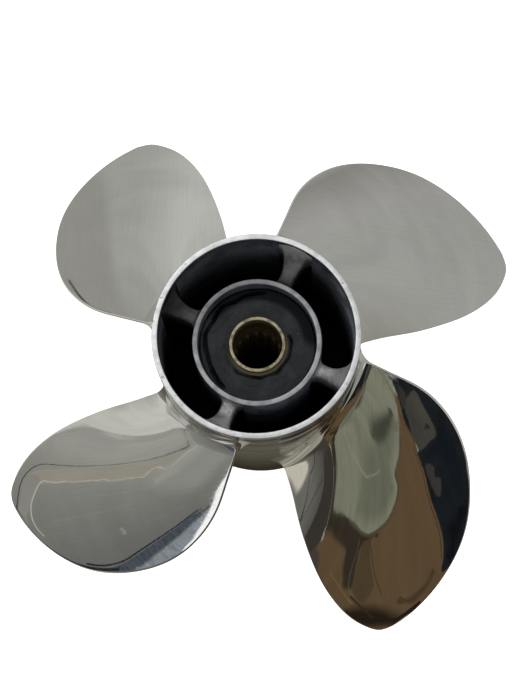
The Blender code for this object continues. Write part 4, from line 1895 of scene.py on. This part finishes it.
def lower_left_stripes() -> tuple[Stripe, ...]:
    """The fine lines that the lower left and the upper left blade show."""
    return (
        Stripe("line_dark", (44, 44, 41),
               ((183.6, .0937), (187.2, .1046), (189.4, .1109), (188.8, .1082), (187.2, .1018),
                (185.6, .0949), (184.4, .086), (184.4, .077), (186.2, .067), (189, .053), (191, .038),
                (192.9, .025), (196.4, .015), (200, .0096), (204, .0078), (208.5, .0076)), width=.0011),
        Stripe("line_pale", (174, 170, 160),
               ((190.0, .109), (193.8, .1082), (191.4, .101), (190.8, .096), (194.0, .0955),
                (193.4, .092), (193.5, .0885), (192.8, .086), (193.8, .0825), (193.5, .0795),
                (194.2, .0765), (193.3, .072), (194.0, .069), (194.2, .065), (195.1, .06),
                (195.3, .057), (196.2, .052), (196.4, .046), (197.4, .04), (197.6, .033),
                (198.3, .0265), (202.5, .0205), (205.6, .0174), (210.6, .0166), (214.0, .0197)), width=.0011),
        Stripe("line_faint_long", (130, 130, 124),
               ((210.3, .031), (209.4, .0536), (208.4, .0724), (207.3, .086), (207.1, .0919)), width=.0007),
        Stripe("line_faint_upper", (136, 136, 129),
               ((201.2, .0697), (200.5, .0872), (200.8, .107), (202.4, .122), (203.5, .1321)), width=.0007),
        Stripe("line_faint_lower", (122, 122, 116),
               ((217.0, .0963), (217.3, .1127), (216.4, .1338)), width=.0007),
        Stripe("line_sheet_edge", (130, 129, 121),
               ((194, .0117), (187.9, .0211), (181.9, .0317), (176.5, .0405), (171.3, .0461), (167.8, .0482),
                (167.4, .05), (168.9, .0535), (171.1, .0573), (173.9, .0649), (176.6, .0731),
                (179.5, .0817)), width=.001),
        Stripe("line_black_edge", (24, 28, 32),
               ((222.3, .14), (222.4, .1335), (223.9, .1196), (225.1, .1053), (226.3, .0903), (227.4, .075),
                (227.8, .0635), (226.6, .05), (224.2, .039)), width=.0026),
        Stripe("line_tip_edge", (30, 31, 31),
               ((212.5, .0045), (218.4, .0183), (223.6, .0316), (227.2, .046), (229.5, .058)), width=.0042),
        Stripe("line_star", (186, 186, 180),
               ((216.6, .0789), (218.0, .0793), (219.4, .079)), width=.0012),
        Stripe("line_upper_edge", (62, 62, 59),
               ((144.9, .082), (144.6, .0927), (144.1, .0995), (142.8, .108), (140.2, .1155), (137, .119)),
               width=.0032),
    )


def lower_right_stripes() -> tuple[Stripe, ...]:
    """The fine lines that the lower right blade shows."""
    return (
        Stripe("line_squiggle", (36, 38, 38),
               ((254.8, .0341), (248.0, .042), (243.0, .0468), (239.6, .0455), (238.1, .0525),
                (238.8, .0666), (241.2, .0734), (242.9, .0774), (246.7, .0811), (252.0, .0816)), width=.002),
        Stripe("line_sheet_fold", (62, 62, 58),
               ((256.2, .0612), (246.6, .052), (244.6, .0514), (242.3, .0522), (239.9, .059),
                (239.7, .0672)), width=.0013),
        Stripe("line_dark_fold", (54, 52, 47),
               ((249.3, .0702), (245.3, .0673), (242.4, .0687), (241.3, .0717))),
        Stripe("line_streak", (112, 109, 99),
               ((256.5, .0906), (257.0, .09), (257.4, .0888), (257.9, .0868), (258.9, .0848),
                (259.6, .0815)), width=.0008),
        Stripe("line_streak_end", (150, 148, 138),
               ((258.9, .0835), (259.4, .0818), (260.3, .0802)), width=.0022),
        Stripe("line_green_fold", (128, 130, 112),
               ((271.7, .1132), (274.7, .1153), (277.0, .1161), (279.3, .1159), (281.9, .116)), width=.0012),
        Stripe("line_green_branch", (120, 122, 105),
               ((290.6, .1225), (287.4, .1199), (284.0, .1176), (281.5, .1158)), width=.0012),
        Stripe("line_green_crease", (98, 98, 82),
               ((287.7, .1436), (284.5, .1353), (281.2, .1265), (280.1, .1204), (280.4, .1165))),
        Stripe("line_low_dark", (58, 54, 47),
               ((244, -.06), (262, -.054), (284, -.058), (306, -.07)), width=.006),
        Stripe("line_low_light", (176, 172, 162),
               ((240, -.036), (258, -.03), (284, -.034), (310, -.046)), width=.007),
        Stripe("line_low_thin", (72, 68, 60),
               ((246, -.018), (262, -.01), (284, -.014), (306, -.024)), width=.003),
        Stripe("line_lower_dark", (60, 57, 51),
               ((250, -.1), (270, -.094), (300, -.104), (336, -.11)), width=.008),
        Stripe("line_lower_light", (150, 147, 138),
               ((250, -.124), (270, -.118), (300, -.128), (336, -.134)), width=.008),
        Stripe("line_fold", (98, 84, 66),
               ((280.9, .0815), (281.5, .0719), (281.6, .06), (282.9, .045), (285.4, .0348)), width=.0007),
        Stripe("line_fold_dark", (46, 37, 27),
               ((284.6, .036), (286.2, .0318), (288.3, .0262), (290.3, .0205), (292, .015)), width=.0022),
        Stripe("line_second_fold", (48, 38, 28),
               ((286.6, .0786), (289.2, .0631), (291.2, .0491), (293.2, .0376), (294.0, .03)), width=.0009),
        Stripe("line_edge_light", (104, 86, 62),
               ((274, .0572), (279.4, .0464), (284.1, .0336), (286, .029)), width=.001),
        Stripe("line_joint", (14, 15, 16),
               ((316.6, .1752), (315.2, .17), (312.2, .1536), (312.8, .1408), (313.7, .127),
                (312.5, .1255), (312.9, .1095), (312.5, .0908), (313.0, .0697), (312.9, .0525),
                (311.5, .0374)), width=.0008),
    )


@dataclass(frozen=True)
class Floor:
    """The plain pale floor, unlit inside the barrel's foot so that the passages stay dark."""

    size: float = 6.0
    color: Color = (0.9, 0.9, 0.9)
    dark_color: Color = (0.01, 0.01, 0.01)
    dark_radius: float = 0.0588
    dark_edge: float = 0.001
    roughness: float = 0.9
    grain: Pattern = Pattern(300)
    grain_depth: float = 0.0001
    glow: float = 0.93
    mirror_radius: float = 0.105
    mirror_height: float = 0.0002
    mirror_eye: float = 0.0005
    mirror_rings: int = 12
    mirror_segments: int = 96
    # The tones paint shade, near black then brown, at the barrel's foot, and turn pale further out.
    mirror_tones: tuple[tuple[float, Color], ...] = (
        (0.0580, (0, 0, 0)), (0.0590, (56, 52, 42)), (0.0660, (75, 70, 59)), (0.0690, (98, 94, 82)),
        (0.0760, (104, 101, 89)), (0.0860, (98, 96, 84)), (0.1050, (146, 143, 132)),
    )

    def build(self) -> None:
        """Makes the floor, and the tone that the barrel's flank reflects of it."""
        half = self.size / 2
        corners = [(-half, -half, 0), (half, -half, 0), (half, half, 0), (-half, half, 0)]
        mesh = bpy.data.meshes.new("floor")
        mesh.from_pydata(corners, [], [(0, 1, 2, 3)])
        graph = Graph.of_material("pale_floor")
        lit = graph.span(graph.off_axis(), self.dark_radius - self.dark_edge, self.dark_radius)
        tone = graph.blend(lit, self.dark_color, self.color)
        graph.finish(tone, self.roughness, graph.bump(graph.noise(self.grain), self.grain_depth), 0.0)
        graph.feed(graph.shader.inputs["Emission Color"], graph.blend(lit, (0.0, 0.0, 0.0), (1.0, 1.0, 1.0)))
        graph.shader.inputs["Emission Strength"].default_value = self.glow
        Skin.coat(mesh, graph.owner)
        answer_to(show(mesh), Seen.BY_ALL_BUT_REFLECTIONS)
        self.build_mirror_tone()
        log.info("floor: pale, %.1f m wide", self.size)

    def build_mirror_tone(self) -> None:
        """Makes the ring of floor that only reflections see: brown painted shade at the barrel's foot, then
        pale.
        """
        rings = np.linspace(self.mirror_eye, self.mirror_radius, self.mirror_rings)
        angle = np.linspace(0, math.tau, self.mirror_segments, endpoint=False)
        points = polar(rings[:, None], angle[None, :], self.mirror_height)
        mesh = Skin.from_grid("floor_reflected", points, True, False)
        graph = Graph.of_material("floor_reflected")
        stops = [(radius / self.mirror_radius, from_display(color)) for radius, color in self.mirror_tones]
        graph.become_light(graph.ramp(graph.math("DIVIDE", graph.off_axis(), self.mirror_radius), stops))
        Skin.coat(mesh, graph.owner)
        answer_to(show(mesh), Seen.BY_REFLECTIONS)


@dataclass(frozen=True)
class Studio:
    """Even light from all round, with one large soft lamp above."""

    camera_light: float = 1.0
    matt_light: float = 0.85
    mirror_lights: tuple[Point, ...] = ((0.35, 0.35), (0.50, 0.55), (0.95, 1.0))
    lamp_power: float = 2.0
    lamp_size: float = 0.9
    lamp_place: Triple = (-0.35, 0.55, 1.5)
    lamp_aim: Triple = (0.0, 0.0, 0.08)

    def build(self) -> None:
        """Makes the lamp and the world."""
        lamp = bpy.data.lights.new("soft_lamp", "AREA")
        lamp.shape = "DISK"
        lamp.size = self.lamp_size
        lamp.energy = self.lamp_power
        obj = show(lamp)
        obj.location = self.lamp_place
        obj.rotation_euler = (Vector(self.lamp_aim) - obj.location).to_track_quat("-Z", "Y").to_euler()
        self.build_world()
        bpy.context.scene.view_settings.view_transform = "Standard"
        log.info("studio: one lamp of %.1f W and an even world", self.lamp_power)

    def build_world(self) -> None:
        """Makes the world: white to the eye, even for matt surfaces and brighter overhead in reflections."""
        bpy.context.scene.world = bpy.data.worlds.new("studio_world")
        graph = Graph(bpy.context.scene.world)
        up = graph.add("ShaderNodeSeparateXYZ", {0: graph.add("ShaderNodeTexCoord").outputs["Generated"]})
        rise = graph.add("ShaderNodeMapRange", {"Value": up.outputs["Z"], "From Min": -1.0}).outputs[0]
        overhead = graph.ramp(rise, [(place, (light,) * 3) for place, light in self.mirror_lights])
        matt = graph.nodes["Background"]
        graph.feed(matt.inputs["Color"], (self.matt_light,) * 3)
        mirrored = graph.add("ShaderNodeBackground", {"Color": overhead})
        seen = graph.add("ShaderNodeBackground", {"Color": (self.camera_light,) * 3})
        ray = graph.add("ShaderNodeLightPath").outputs
        light = matt.outputs[0]
        for kind, other in (("Is Glossy Ray", mirrored), ("Is Camera Ray", seen)):
            light = graph.add("ShaderNodeMixShader", {0: ray[kind], 1: light, 2: other.outputs[0]}).outputs[0]
        graph.links.new(light, graph.nodes["World Output"].inputs["Surface"])


@dataclass(frozen=True)
class ProductCamera:
    """The photograph's view, down the shaft from the front end."""

    aim: Triple = (-0.002, 0.0129, 0.060)
    tilt_right: float = math.radians(1.39)
    tilt_up: float = math.radians(-12.30)
    distance: float = 1.0905
    lens: float = 93.14
    sensor: float = 36.0
    clip: float = 0.01

    def build(self) -> None:
        """Makes the scene's camera."""
        back = Vector((math.sin(self.tilt_right), math.sin(self.tilt_up), 0.0))
        back.z = math.sqrt(1 - back.length_squared)
        right = Vector((0, 1, 0)).cross(back).normalized()
        up = back.cross(right)
        data = bpy.data.cameras.new("camera")
        data.lens = self.lens
        data.sensor_width = self.sensor
        data.clip_start = self.clip
        place = Matrix((right, up, back)).transposed().to_4x4()
        place.translation = Vector(self.aim) + back * self.distance
        obj = show(data)
        obj.matrix_world = place
        bpy.context.scene.camera = obj
        log.info("camera: %.2f mm lens, %.3f m away", self.lens, self.distance)


def main() -> None:
    """Builds the propeller's pieces, then the studio round them."""
    logging.basicConfig(level=logging.INFO, format="%(message)s")
    finishes = Finishes.build()
    barrel = Barrel()
    hub = InnerHub(barrel)
    sleeve = SplineSleeve(hub)
    barrel.build(finishes)
    for index in range(Blade.count):
        Blade(index, barrel).build(finishes)
    hub.build(finishes)
    for index in range(Rib.count):
        Rib(index, barrel, hub).build(finishes)
    RubberBushing(hub, sleeve).build(finishes)
    sleeve.build(finishes)
    stripes = lower_left_stripes() + lower_right_stripes()
    Surround(cards=upper_cards() + lower_right_cards(), stripes=stripes).build()
    Floor().build()
    Studio().build()
    ProductCamera().build()


if __name__ == "__main__":
    main()
